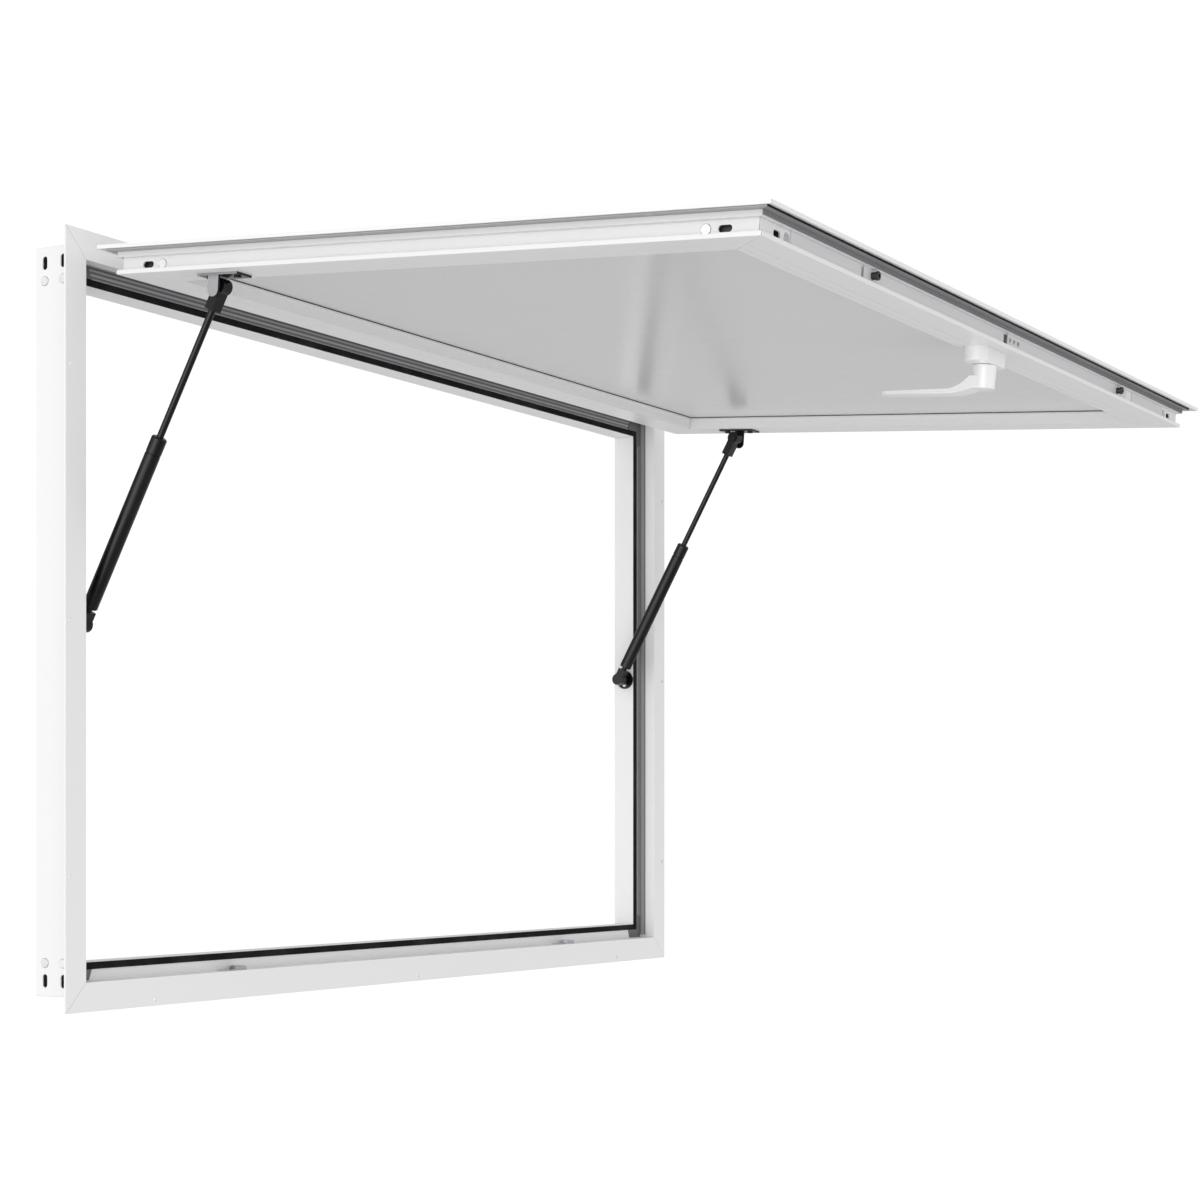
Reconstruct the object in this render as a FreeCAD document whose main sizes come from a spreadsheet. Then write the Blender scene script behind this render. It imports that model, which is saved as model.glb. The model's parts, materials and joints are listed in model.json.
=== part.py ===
import FreeCAD, Part
import math
import os

import Sketcher

# Top-hung serving window: an aluminium frame, an insulated awning sash, two gas struts and a lever lock.
#
# Millimetres: +X to the right seen from outside, +Y into the wall, +Z up. The origin is the centre of
# the flange's screw pattern on the back of the flange, where the window meets the wall. The sash is
# built open, held nearly level by its struts.

V = FreeCAD.Vector
doc = FreeCAD.newDocument("ServingWindow")
sheet = doc.addObject("Spreadsheet::Sheet", "Sizes")

SIZES = {
    # fixed frame
    "frame_width": 1366, "frame_height": 872, "frame_depth": 60, "flange_thick": 2.5,
    "body_inset": 17, "flange_face": 33, "stop_depth": 26.5, "reveal_inset": 53.5, "wall": 1.6,
    "ridge_near": 16.7, "ridge_far": 21, "groove_width": 1.2, "groove_depth": 1.2, "recess_depth": 2,
    "web_front": 10.9, "front_key_near": 12.5, "front_key_far": 24.9, "key_web": 29.9,
    "rear_key_near": 35, "front_key_line": 19.8, "rear_key_line": 46.7,
    "hole_inset": 7.5, "hole_radius": 2.5, "hole_spread_x": 533, "hole_spread_z": 284,
    "frame_slot_end": 17.4, "frame_rivet_end": 37.4, "slot_length": 15.2, "slot_width": 7,
    "gasket_width": 8, "gasket_proud": 2, "gasket_root": 3, "gasket_root_depth": 1.4,
    "pad_leg": 37, "pad_thick": 1, "key_leg": 62, "key_play": 0.2, "key_width": 15,
    "rivet_head": 5.2, "rivet_head_thick": 1.3, "rivet_shank": 2.4, "rivet_length": 9,
    "mitre_gap": 0.3, "rivet_sink": 0.5, "rivet_rim": 0.5,
    # keepers on the sill
    "keeper_length": 36, "keeper_width": 17, "keeper_plate": 1, "keeper_near": 3.8,
    "keeper_block": 16, "keeper_block_width": 15, "keeper_rise": 5.2, "keeper_slot": 11,
    "keeper_slot_depth": 13.5, "keeper_screw": 1.8,
    # hinge
    "hinge_y": -21, "hinge_z": 426.9, "hinge_length": 1143, "knuckle_count": 15, "knuckle_radius": 4.5,
    "knuckle_gap": 0.4, "hinge_pin_radius": 2, "hinge_play": 0.05, "leaf": 2, "leaf_drop": 14,
    "leaf_end": 41, "frame_leaf_low": 9.9, "frame_leaf_high": 1.9, "frame_rivet_low": 7.2,
    "sash_rivet_along": 36, "leaf_rivet": 1.3, "leaf_rivet_head": 2.4,
    # sash
    "open_tilt": 4.16, "hinge_rise": 13.3, "lip_near": 11, "face_near": 28.9, "face_far": 819.8,
    "lip_over": 21.4, "face_half": 642.5, "sash_thick": 29.2, "rib": 3.5, "rail_wide": 50,
    "rail_wall": 1.8, "skin": 0.8, "hem": 2, "hem_depth": 4.2, "fin": 1.8, "rib_near": 4.6,
    "channel_near": 10.6, "channel_far": 24.6, "channel_floor": 1.6, "channel_under": 1,
    "channel_lip": 0.1, "panel_depth": 12.5, "bead_over": 3.5, "bead_far": 16, "rail_web": 38,
    "sash_slot_end": 38, "sash_rivet_end": 58.5, "sash_key_line": 19.4, "sash_key_leg": 66,
    "seal_far": 12, "seal_near": 3.6, "seal_thick": 2.6, "seal_face": 1.4, "seal_low": 9.7,
    "panel_gasket": 0.9, "bead_line": 28.5, "bead_line_far": 41.5, "line_wide": 0.7, "line_deep": 0.5,
    # lock
    "bar_thick": 1.4, "bar_play": 0.35, "bar_left_end": 407.6, "bar_right_end": 423.4,
    "bar_gap_left": 16.4, "bar_gap_right": 4.2, "lock_travel": 18, "pin_spread": 386.5,
    "pin_line": 17.5, "pin_height": 7.9, "pin_head": 4.75, "pin_neck": 4, "pin_socket": 2.4,
    "block_left": 40, "block_right": 41, "block_near": 12.6, "block_far": 22.6, "block_deep": 8,
    "fork_near": 14.4, "fork_far": 18.4, "fork_deep": 23.2, "fork_half": 8, "fork_slot": 3,
    "window_left": 46, "window_right": 65, "handle_back": 28.2, "crank_offset": 9,
    "crank_pin": 2.5, "crank_hub": 8, "crank_near": 19.2, "crank_far": 22.4,
    "filler_gap": 6, "filler_end": 576.5,
    "rosette_long": 80, "rosette_wide": 29, "rosette_base": 3, "rosette_high": 17,
    "rosette_wall": 2, "rosette_hole": 8.4, "hub_radius": 14.3, "hub_top": 13.8, "hub_gap": 0.4,
    "neck_radius": 8, "hub_end": 74, "blade_low": 74, "blade_high": 79.8, "neck_rise": 14.5,
    "neck_reach": 41, "lever_reach": 128, "lever_half": 10,
    "spindle": 6, "spindle_hole": 5, "base_screw": 26,
    # struts
    "strut_x": 611, "strut_foot_y": 38.2, "strut_foot_z": 1, "stud_along": 147.9, "stud_below": 12.3,
    "tube_radius": 9, "tube_bore": 8, "tube_stud_start": 11, "tube_start": 21, "tube_floor": 25,
    "tube_end": 212, "gland_end": 233, "gland_plug": 6, "rod_radius": 4, "rod_start": 190,
    "rod_play": 0.05, "piston_length": 10, "socket_radius": 8.8, "socket_thick": 15,
    "socket_neck": 5.75, "socket_length": 28, "thread_length": 9, "foot_length": 17,
    "stud_radius": 4, "stud_play": 0.05, "stud_head": 5.5, "stud_head_thick": 1.2,
    "disc_radius": 14, "disc_thick": 2.5, "collar_radius": 4.5, "collar_end": 624,
    "foot_stud_end": 623.6, "disc_screw": 8, "disc_screw_radius": 2,
    "plate_near": 125.4, "plate_length": 55, "plate_width": 26, "plate_shift": 3, "plate_thick": 2.5,
    "tab_thick": 3, "tab_width": 14.6, "tab_drop": 18.6, "plate_screw": 2.1,
    "plate_screw_first": 133.4, "plate_screw_pitch": 38,
}


class Size:
    """A length that carries its value and the spreadsheet expression it comes from."""

    def __init__(self, text, value):
        self.text = text
        self.value = float(value)

    def join(self, other, sign, flip=False):
        other = other if isinstance(other, Size) else Size(repr(float(other)), other)
        first, second = (other, self) if flip else (self, other)
        results = {
            "+": first.value + second.value,
            "-": first.value - second.value,
            "*": first.value * second.value,
            "/": first.value / second.value if sign == "/" else 0,
        }
        return Size("(%s %s %s)" % (first.text, sign, second.text), results[sign])

    def __add__(self, other):
        return self.join(other, "+")

    def __radd__(self, other):
        return self.join(other, "+", flip=True)

    def __sub__(self, other):
        return self.join(other, "-")

    def __rsub__(self, other):
        return self.join(other, "-", flip=True)

    def __mul__(self, other):
        return self.join(other, "*")

    def __rmul__(self, other):
        return self.join(other, "*", flip=True)

    def __truediv__(self, other):
        return self.join(other, "/")

    def __neg__(self):
        return self.join(-1, "*")


def fill_sheet():
    """Write every driving dimension to the sheet as a plain number with an alias."""
    for row, (name, number) in enumerate(SIZES.items(), start=1):
        sheet.set("A%d" % row, name)
        sheet.set("B%d" % row, str(number))
        sheet.setAlias("B%d" % row, name)
    doc.recompute()


def size(name):
    """One cell of the sheet."""
    return Size("Sizes.%s" % name, getattr(sheet, name))


def fixed(number):
    """A plain number where a Size is wanted."""
    return Size(repr(float(number)), number)


def as_size(number):
    return number if isinstance(number, Size) else fixed(number)


fill_sheet()


# ---------------------------------------------------------------- places

def turned(axis, degrees, base=(0, 0, 0)):
    """A placement that turns about an axis through the origin and then moves to base."""
    return FreeCAD.Placement(V(*base), FreeCAD.Rotation(V(*axis), degrees))


X_AXIS, Y_AXIS, Z_AXIS = (1, 0, 0), (0, 1, 0), (0, 0, 1)
HALF_WIDTH = SIZES["frame_width"] / 2
HALF_HEIGHT = SIZES["frame_height"] / 2
FACE_Y = -SIZES["flange_thick"]

# The sash's own frame: origin on the hinge axis, X along it, -Y towards the free edge, +Z out of the skin.
SASH = turned(X_AXIS, SIZES["open_tilt"], (0, SIZES["hinge_y"], SIZES["hinge_z"]))
SKIN_Z = -SIZES["hinge_rise"]


def on_sash(x, along, depth):
    """A point of the sash: across, from the hinge axis along the sash, and below its outer skin."""
    return V(x, -along, SKIN_Z - depth)


# ---------------------------------------------------------------- sketches and bodies

def plane(body, role):
    """One of a body's own origin planes."""
    for feature in body.Origin.OriginFeatures:
        if feature.Role == role:
            return feature
    raise LookupError(role)


def new_body(name, placement=None):
    body = doc.addObject("PartDesign::Body", name)
    body.Label = name
    body.Placement = placement or FreeCAD.Placement()
    return body


def new_sketch(body, role, lift=None):
    """A sketch on an origin plane of the body, lifted along the plane's normal where asked."""
    sketch = body.newObject("Sketcher::SketchObject", body.Name + "_sketch")
    sketch.AttachmentSupport = (plane(body, role), [""])
    sketch.MapMode = "FlatFace"
    if lift is not None:
        sketch.setExpression("AttachmentOffset.Base.z", lift.text)
    return sketch


def pin_point(sketch, geometry, end, x, y):
    """Hold one point of a sketch at sizes taken from the sheet."""
    for kind, axis, length in (("DistanceX", -2, x), ("DistanceY", -1, y)):
        if abs(length.value) < 1e-9:
            sketch.addConstraint(Sketcher.Constraint("PointOnObject", geometry, end, axis))
            continue
        number = sketch.addConstraint(
            Sketcher.Constraint(kind, -1, 1, geometry, end, length.value))
        sketch.setExpression("Constraints[%d]" % number, length.text)


def outline(sketch, points):
    """A closed outline of straight sides through points given as pairs of sizes."""
    points = [(as_size(x), as_size(y)) for x, y in points]
    corners = [V(x.value, y.value, 0) for x, y in points]
    count = len(corners)
    first = sketch.GeometryCount
    for i in range(count):
        sketch.addGeometry(Part.LineSegment(corners[i], corners[(i + 1) % count]), False)
    for i in range(count):
        after = first + (i + 1) % count
        sketch.addConstraint(Sketcher.Constraint("Coincident", first + i, 2, after, 1))
        pin_point(sketch, first + i, 1, *points[i])


def box_outline(sketch, x0, y0, x1, y1):
    outline(sketch, [(x0, y0), (x1, y0), (x1, y1), (x0, y1)])


def circle(sketch, x, y, radius):
    """A circle held by its centre and its radius."""
    x, y, radius = as_size(x), as_size(y), as_size(radius)
    index = sketch.addGeometry(Part.Circle(V(x.value, y.value, 0), V(0, 0, 1), radius.value), False)
    pin_point(sketch, index, 3, x, y)
    number = sketch.addConstraint(Sketcher.Constraint("Radius", index, radius.value))
    sketch.setExpression("Constraints[%d]" % number, radius.text)


def round_slot(sketch, x, y, length, width, along_x=True):
    """A slot with round ends about a centre."""
    x, y, length, width = as_size(x), as_size(y), as_size(length), as_size(width)
    reach = (length - width) / 2
    side = width / 2
    ends = []
    for sign in (1, -1):
        if along_x:
            ends.append((x + sign * reach, y))
        else:
            ends.append((x, y + sign * reach))
    start = 0 if along_x else math.pi / 2
    first = sketch.GeometryCount
    for number, (cx, cy) in enumerate(ends):
        middle = start + number * math.pi
        arc = Part.ArcOfCircle(
            Part.Circle(V(cx.value, cy.value, 0), V(0, 0, 1), side.value),
            middle - math.pi / 2, middle + math.pi / 2)
        sketch.addGeometry(arc, False)
    for number in (0, 1):
        start_point = sketch.getPoint(first + number, 2)
        end_point = sketch.getPoint(first + 1 - number, 1)
        sketch.addGeometry(Part.LineSegment(start_point, end_point), False)
    for number, (cx, cy) in enumerate(ends):
        arc = first + number
        line = first + 2 + number
        sketch.addConstraint(Sketcher.Constraint("Tangent", arc, 2, line, 1))
        sketch.addConstraint(Sketcher.Constraint("Tangent", line, 2, first + 1 - number, 1))
        pin_point(sketch, arc, 3, cx, cy)
    radius = sketch.addConstraint(Sketcher.Constraint("Radius", first, side.value))
    sketch.setExpression("Constraints[%d]" % radius, side.text)


def pad(body, sketch, length, both_ways=False, reverse=False):
    feature = body.newObject("PartDesign::Pad", body.Name + "_pad")
    feature.Profile = sketch
    feature.setExpression("Length", as_size(length).text)
    feature.Midplane = both_ways
    feature.Reversed = reverse
    doc.recompute()
    return feature


def pocket(body, sketch, length, both_ways=False, reverse=False):
    """Cut a sketch into the body, and make sure that it took something away."""
    before = body.Shape.Volume
    feature = body.newObject("PartDesign::Pocket", body.Name + "_pocket")
    feature.Profile = sketch
    feature.setExpression("Length", as_size(length).text)
    feature.Midplane = both_ways
    feature.Reversed = reverse
    doc.recompute()
    if body.Shape.Volume > before - 0.01:
        raise ValueError("a pocket of %s cuts nothing" % body.Name)
    return feature


def spin(body, sketch):
    """Revolve a sketch about the sketch's own vertical axis."""
    feature = body.newObject("PartDesign::Revolution", body.Name + "_turn")
    feature.Profile = sketch
    feature.ReferenceAxis = (sketch, ["V_Axis"])
    feature.Angle = 360
    doc.recompute()
    return feature


def repeat(body, feature, axis_role, length, count):
    """Repeat a feature in a row along one of the body's own axes."""
    pattern = body.newObject("PartDesign::LinearPattern", body.Name + "_row")
    pattern.Originals = [feature]
    pattern.Direction = (plane(body, axis_role), [""])
    pattern.setExpression("Length", as_size(length).text)
    pattern.Occurrences = count
    body.Tip = pattern
    doc.recompute()
    return pattern


def group(name, shapes, placement=None):
    """Identical small pieces that share one node: a feature with one solid for each piece."""
    feature = doc.addObject("Part::Feature", name)
    feature.Label = name
    feature.Shape = Part.makeCompound(shapes)
    feature.Placement = placement or FreeCAD.Placement()
    return feature


def placed(shape, placement):
    copy = shape.copy()
    copy.Placement = placement.multiply(copy.Placement)
    return copy


def headed(head_radius, head_thick, shank_radius, shank_length, crown=0.4):
    """A rivet or screw standing on z = 0: head above with a bevelled crown, shank below."""
    head = Part.makeCylinder(head_radius, head_thick - crown)
    top = Part.makeCone(head_radius, head_radius - crown, crown, V(0, 0, head_thick - crown))
    shank = Part.makeCylinder(shank_radius, shank_length, V(0, 0, -shank_length))
    return head.fuse([top, shank]).removeSplitter()


def facing(direction, base):
    """A placement whose +Z looks along a direction."""
    return FreeCAD.Placement(V(*base), FreeCAD.Rotation(V(0, 0, 1), V(*direction)))


# ---------------------------------------------------------------- fixed frame

def frame_profile(sketch):
    """Hollow frame section: x is the depth behind the flange's face, y the way in from its outer edge."""
    flange, body, face = size("flange_thick"), size("body_inset"), size("flange_face")
    stop, depth, inset, wall = size("stop_depth"), size("frame_depth"), size("reveal_inset"), size("wall")
    recess = face - size("recess_depth")
    groove = face - size("groove_depth")
    near, far = size("ridge_near"), size("ridge_far")
    root_middle = inset - size("gasket_width") / 2
    root_low = root_middle - size("gasket_root") / 2
    root_high = root_middle + size("gasket_root") / 2
    root_deep = stop + size("gasket_root_depth")
    outline(sketch, [
        (0, 0), (flange, 0), (flange, body), (depth, body), (depth, inset), (stop, inset),
        (stop, root_high), (root_deep, root_high), (root_deep, root_low), (stop, root_low),
        (stop, recess), (far, recess), (far, face), (near, face), (near, groove),
        (near - size("groove_width"), groove), (near - size("groove_width"), face), (0, face),
    ])
    box_outline(sketch, flange, body + wall, size("web_front"), face - wall)
    box_outline(sketch, size("front_key_near"), body + wall, size("front_key_far"), recess - wall)
    box_outline(sketch, size("key_web"), body + wall, size("rear_key_near") - wall, inset - wall)
    box_outline(sketch, size("rear_key_near"), body + wall, depth - wall, inset - wall)


def mitre(body, length, role, across, start=None):
    """Cut both ends of a member at 45 degrees, a hair short of its corner points."""
    start = start if start is not None else fixed(0)
    over = fixed(5)
    sketch = new_sketch(body, role)
    half = length / 2 - size("mitre_gap")
    for side in (1, -1):
        outline(sketch, [
            (side * (half - start + over), start - over),
            (side * (half - start + over), across + over),
            (side * (half - across - over), across + over),
        ])
    pocket(body, sketch, 400, both_ways=True)


def frame_member(name, length, hole_spread, placement):
    """One mitred side of the frame, along its own X, with flange holes and corner fixings."""
    body = new_body(name, placement)
    profile = new_sketch(body, "YZ_Plane")
    frame_profile(profile)
    pad(body, profile, length, both_ways=True)
    mitre(body, length, "XZ_Plane", size("reveal_inset"))
    holes = new_sketch(body, "XZ_Plane")
    for x in (-hole_spread, fixed(0), hole_spread):
        circle(holes, x, size("hole_inset"), size("hole_radius"))
    pocket(body, holes, size("flange_thick") + 1)
    fixings = new_sketch(body, "XY_Plane")
    for side in (1, -1):
        for line in ("front_key_line", "rear_key_line"):
            slot_x = side * (length / 2 - size("body_inset") - size("frame_slot_end"))
            rivet_x = side * (length / 2 - size("body_inset") - size("frame_rivet_end"))
            round_slot(fixings, slot_x, size(line), size("slot_length"), size("slot_width"))
            circle(fixings, rivet_x, size(line), size("rivet_shank"))
    pocket(body, fixings, size("body_inset") + size("wall") + 0.1, reverse=True)
    rims = new_sketch(body, "XY_Plane")
    for side in (1, -1):
        for line in ("front_key_line", "rear_key_line"):
            rivet_x = side * (length / 2 - size("body_inset") - size("frame_rivet_end"))
            circle(rims, rivet_x, size(line), size("rivet_head") + size("rivet_rim"))
    pocket(body, rims, size("body_inset") + size("rivet_sink"), reverse=True)
    return body


FRAME_SIDES = {
    "frame_sill": ("frame_width", "hole_spread_x", turned(Y_AXIS, 0, (0, FACE_Y, -HALF_HEIGHT))),
    "frame_head": ("frame_width", "hole_spread_x", turned(Y_AXIS, 180, (0, FACE_Y, HALF_HEIGHT))),
    "frame_jamb_left": ("frame_height", "hole_spread_z", turned(Y_AXIS, 90, (-HALF_WIDTH, FACE_Y, 0))),
    "frame_jamb_right": ("frame_height", "hole_spread_z", turned(Y_AXIS, -90, (HALF_WIDTH, FACE_Y, 0))),
}


def corner_places():
    """The four corners of the frame: each turns a piece drawn for the lower left corner."""
    return [
        turned(Y_AXIS, 0, (-HALF_WIDTH, FACE_Y, -HALF_HEIGHT)),
        turned(Y_AXIS, -90, (HALF_WIDTH, FACE_Y, -HALF_HEIGHT)),
        turned(Y_AXIS, 180, (HALF_WIDTH, FACE_Y, HALF_HEIGHT)),
        turned(Y_AXIS, 90, (-HALF_WIDTH, FACE_Y, HALF_HEIGHT)),
    ]


def corner_key(low, width, leg, near, far, line, slot_at, rivet_at):
    """A cast angle inside a corner, legs along X and Z, with a pocket behind each slot and rivet holes."""
    key = Part.makeBox(leg, far - near, leg, V(low, near, low))
    key = key.cut(Part.makeBox(leg, far - near, leg, V(low + width, near, low + width)))
    long_side, short_side = SIZES["slot_length"], SIZES["slot_width"]
    recess = Part.makeBox(long_side, short_side, 5, V(slot_at - long_side / 2, line - short_side / 2, low))
    drill = Part.makeCylinder(SIZES["rivet_shank"], SIZES["rivet_length"], V(rivet_at, line, low - 1))
    for cutter in (recess, drill):
        key = key.cut(cutter)
        key = key.cut(cutter.mirror(V(0, 0, 0), V(1, 0, -1)))
    return key


def frame_corner_keys():
    """Front and rear keys in each corner."""
    play, wall, body = SIZES["key_play"], SIZES["wall"], SIZES["body_inset"]
    low = body + wall + play
    slot_at, rivet_at = body + SIZES["frame_slot_end"], body + SIZES["frame_rivet_end"]
    front_width = SIZES["flange_face"] - SIZES["recess_depth"] - wall - play - low
    front = corner_key(low, front_width, SIZES["key_leg"], SIZES["front_key_near"] + play,
                       SIZES["front_key_far"] - play, SIZES["front_key_line"], slot_at, rivet_at)
    rear = corner_key(low, SIZES["key_width"], SIZES["key_leg"], SIZES["rear_key_near"] + play,
                      SIZES["frame_depth"] - wall - play, SIZES["rear_key_line"], slot_at, rivet_at)
    shapes = [placed(key, place) for place in corner_places() for key in (front, rear)]
    return group("frame_corner_keys", shapes)


def frame_corner_rivets():
    """A rivet through the outer wall into each leg of each key."""
    body = SIZES["body_inset"] + SIZES["rivet_sink"]
    end = SIZES["body_inset"] + SIZES["frame_rivet_end"]
    rivet = headed(SIZES["rivet_head"], SIZES["rivet_head_thick"], SIZES["rivet_shank"] - 0.1,
                   SIZES["rivet_length"] - 2)
    shapes = []
    for place in corner_places():
        for line in (SIZES["front_key_line"], SIZES["rear_key_line"]):
            shapes.append(placed(rivet, place.multiply(facing((0, 0, -1), (end, line, body)))))
            shapes.append(placed(rivet, place.multiply(facing((-1, 0, 0), (body, line, end)))))
    return group("frame_corner_rivets", shapes)


def mitred_strip(length, outline_points, across, start=0):
    """A strip of a section drawn in its Y and Z, mitred at both ends from z = start to z = across."""
    wire = Part.makePolygon([V(0, y, z) for y, z in outline_points + outline_points[:1]])
    reach, inner = length / 2 - start, length / 2 - across
    strip = Part.Face(wire).extrude(V(2 * reach, 0, 0))
    strip.translate(V(-reach, 0, 0))
    ends = Part.makePolygon([
        V(-reach, -50, start), V(reach, -50, start), V(inner, -50, across), V(-inner, -50, across),
        V(-reach, -50, start)])
    return strip.common(Part.Face(ends).extrude(V(0, 150, 0)))


def frame_gasket():
    """Bulb gasket round the stop, in four mitred lengths, each rooted in its groove."""
    inset, width, root = SIZES["reveal_inset"], SIZES["gasket_width"], SIZES["gasket_root"]
    stop, proud, deep = SIZES["stop_depth"], SIZES["gasket_proud"], SIZES["gasket_root_depth"]
    low, middle = inset - width, inset - width / 2
    section = [
        (stop - proud, low + 1), (stop - proud / 2, low), (stop, low), (stop, middle - root / 2),
        (stop + deep, middle - root / 2), (stop + deep, middle + root / 2), (stop, middle + root / 2),
        (stop, inset), (stop - proud / 2, inset), (stop - proud, inset - 1),
    ]
    strips = []
    for length_name, unused_spread, place in FRAME_SIDES.values():
        strips.append(placed(mitred_strip(SIZES[length_name], section, inset), place))
    return group("frame_gasket", strips)


def gasket_corner_pads():
    """A thin moulded angle over each mitre of the stop, with slanted ends."""
    low = SIZES["flange_face"] + 0.4
    high = SIZES["reveal_inset"] - SIZES["gasket_width"] - 0.2
    reach = low + SIZES["pad_leg"]
    corners = [(low, low), (reach - 5, low), (reach, high), (high, high), (high, reach), (low, reach - 5)]
    points = [V(x, SIZES["stop_depth"] - SIZES["pad_thick"], z) for x, z in corners + corners[:1]]
    pad_shape = Part.Face(Part.makePolygon(points)).extrude(V(0, SIZES["pad_thick"], 0))
    return group("gasket_corner_pads", [placed(pad_shape, place) for place in corner_places()])


for side_name, (length_name, spread_name, side_place) in FRAME_SIDES.items():
    frame_member(side_name, size(length_name), size(spread_name), side_place)
frame_corner_keys()
frame_corner_rivets()
frame_gasket()
gasket_corner_pads()


# ---------------------------------------------------------------- keepers on the sill

KEEPER_Z = -HALF_HEIGHT + SIZES["flange_face"]
KEEPER_BLOCK_START = SIZES["lock_travel"] - SIZES["keeper_block"] / 2


def keeper(name, pin_x):
    """A plate with a forked block that a locking pin slides into, towards +X."""
    body = new_body(name, FreeCAD.Placement(V(pin_x, FACE_Y, KEEPER_Z), FreeCAD.Rotation()))
    near, width = size("keeper_near"), size("keeper_width")
    block_x = size("lock_travel") - size("keeper_block") / 2
    block_end = block_x + size("keeper_block")
    plate = new_sketch(body, "XY_Plane")
    box_outline(plate, block_end - size("keeper_length"), near, block_end, near + width)
    pad(body, plate, size("keeper_plate"))
    middle = near + width / 2
    half = size("keeper_block_width") / 2
    block = new_sketch(body, "XY_Plane")
    box_outline(block, block_x, middle - half, block_end, middle + half)
    pad(body, block, size("keeper_rise"))
    slot = new_sketch(body, "XY_Plane", size("keeper_plate"))
    half_slot, slot_end = size("keeper_slot") / 2, block_x + size("keeper_slot_depth")
    box_outline(slot, block_x - 1, middle - half_slot, slot_end, middle + half_slot)
    pocket(body, slot, size("keeper_rise"), reverse=True)
    holes = new_sketch(body, "XY_Plane")
    for x in keeper_screw_places():
        circle(holes, x, middle, size("keeper_screw"))
    pocket(body, holes, size("keeper_rise") + 1, reverse=True)


def keeper_holes(sill):
    """Screw holes for both keepers in the sill's upper wall."""
    holes = new_sketch(sill, "XY_Plane", size("flange_face"))
    for pin_x in (-size("pin_spread"), size("pin_spread")):
        for x in keeper_screw_places():
            circle(holes, pin_x + x, size("keeper_near") + size("keeper_width") / 2, size("keeper_screw"))
    pocket(sill, holes, size("wall") + 0.1)


def keeper_screw_places():
    """Screw positions along a keeper: both on the bare plate, clear of the pin's path."""
    end = KEEPER_BLOCK_START + SIZES["keeper_block"]
    return (end - SIZES["keeper_length"] + 4, KEEPER_BLOCK_START - 3)


def keeper_screws():
    """Flat-headed screws, flush in the keepers' plates."""
    grip = SIZES["wall"]
    screw = Part.makeCylinder(SIZES["keeper_screw"] - 0.05, grip + SIZES["keeper_plate"], V(0, 0, -grip))
    middle = SIZES["keeper_near"] + SIZES["keeper_width"] / 2
    shapes = []
    for pin_x in (-SIZES["pin_spread"], SIZES["pin_spread"]):
        for x in keeper_screw_places():
            place = FreeCAD.Placement(V(pin_x + x, FACE_Y + middle, KEEPER_Z), FreeCAD.Rotation())
            shapes.append(placed(screw, place))
    return group("keeper_screws", shapes)


keeper("keeper_left", -SIZES["pin_spread"])
keeper("keeper_right", SIZES["pin_spread"])
keeper_holes(doc.getObject("frame_sill"))
keeper_screws()


# ---------------------------------------------------------------- hinge

HINGE = turned(X_AXIS, 0, (0, SIZES["hinge_y"], SIZES["hinge_z"]))
LEAF_RIVETS = 8
RIVET_PITCH = SIZES["hinge_length"] / LEAF_RIVETS


def knuckle_row(body, arm_points, first_knuckle, count):
    """Knuckles with their arms, one in every other place along the hinge."""
    pitch = size("hinge_length") / size("knuckle_count")
    start = first_knuckle * pitch - size("hinge_length") / 2 + size("knuckle_gap") / 2
    length = pitch - size("knuckle_gap")
    arm = new_sketch(body, "YZ_Plane", start)
    outline(arm, arm_points)
    arm_pad = pad(body, arm, length)
    ring = new_sketch(body, "YZ_Plane", start)
    circle(ring, 0, 0, size("knuckle_radius"))
    ring_pad = pad(body, ring, length)
    pattern = body.newObject("PartDesign::LinearPattern", body.Name + "_row")
    pattern.Originals = [arm_pad, ring_pad]
    pattern.Direction = (plane(body, "X_Axis"), [""])
    pattern.setExpression("Length", (2 * (count - 1) * pitch).text)
    pattern.Occurrences = count
    body.Tip = pattern
    doc.recompute()
    bore = new_sketch(body, "YZ_Plane")
    circle(bore, 0, 0, size("hinge_pin_radius") + size("hinge_play"))
    pocket(body, bore, size("hinge_length") + 2, both_ways=True)


def rivet_row(body, role, across, radius, depth, lift=None, reverse=False):
    """A row of rivet holes through a leaf."""
    sketch = new_sketch(body, role, lift)
    pitch = size("hinge_length") / LEAF_RIVETS
    first = pitch / 2 - size("hinge_length") / 2
    circle(sketch, first, across, radius)
    hole = pocket(body, sketch, depth, reverse=reverse)
    repeat(body, hole, "X_Axis", (LEAF_RIVETS - 1) * pitch, LEAF_RIVETS)


def hinge_frame_leaf():
    """The leaf that stands on the flange, its arms reaching out to the knuckles."""
    body = new_body("hinge_frame_leaf", HINGE)
    wall_gap = -size("flange_thick") - size("hinge_y")
    low, high = -size("frame_leaf_low"), -size("frame_leaf_high")
    plate = new_sketch(body, "YZ_Plane")
    box_outline(plate, wall_gap - size("leaf"), low, wall_gap, high)
    pad(body, plate, size("hinge_length"), both_ways=True)
    radius, thick = size("knuckle_radius"), size("leaf")
    arm = [(0, -radius), (wall_gap - 1, -radius), (wall_gap - 1, thick - radius), (0, thick - radius)]
    knuckle_row(body, arm, 0, 8)
    rivet_row(body, "XZ_Plane", -size("frame_rivet_low"), size("leaf_rivet"), 40)


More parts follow.
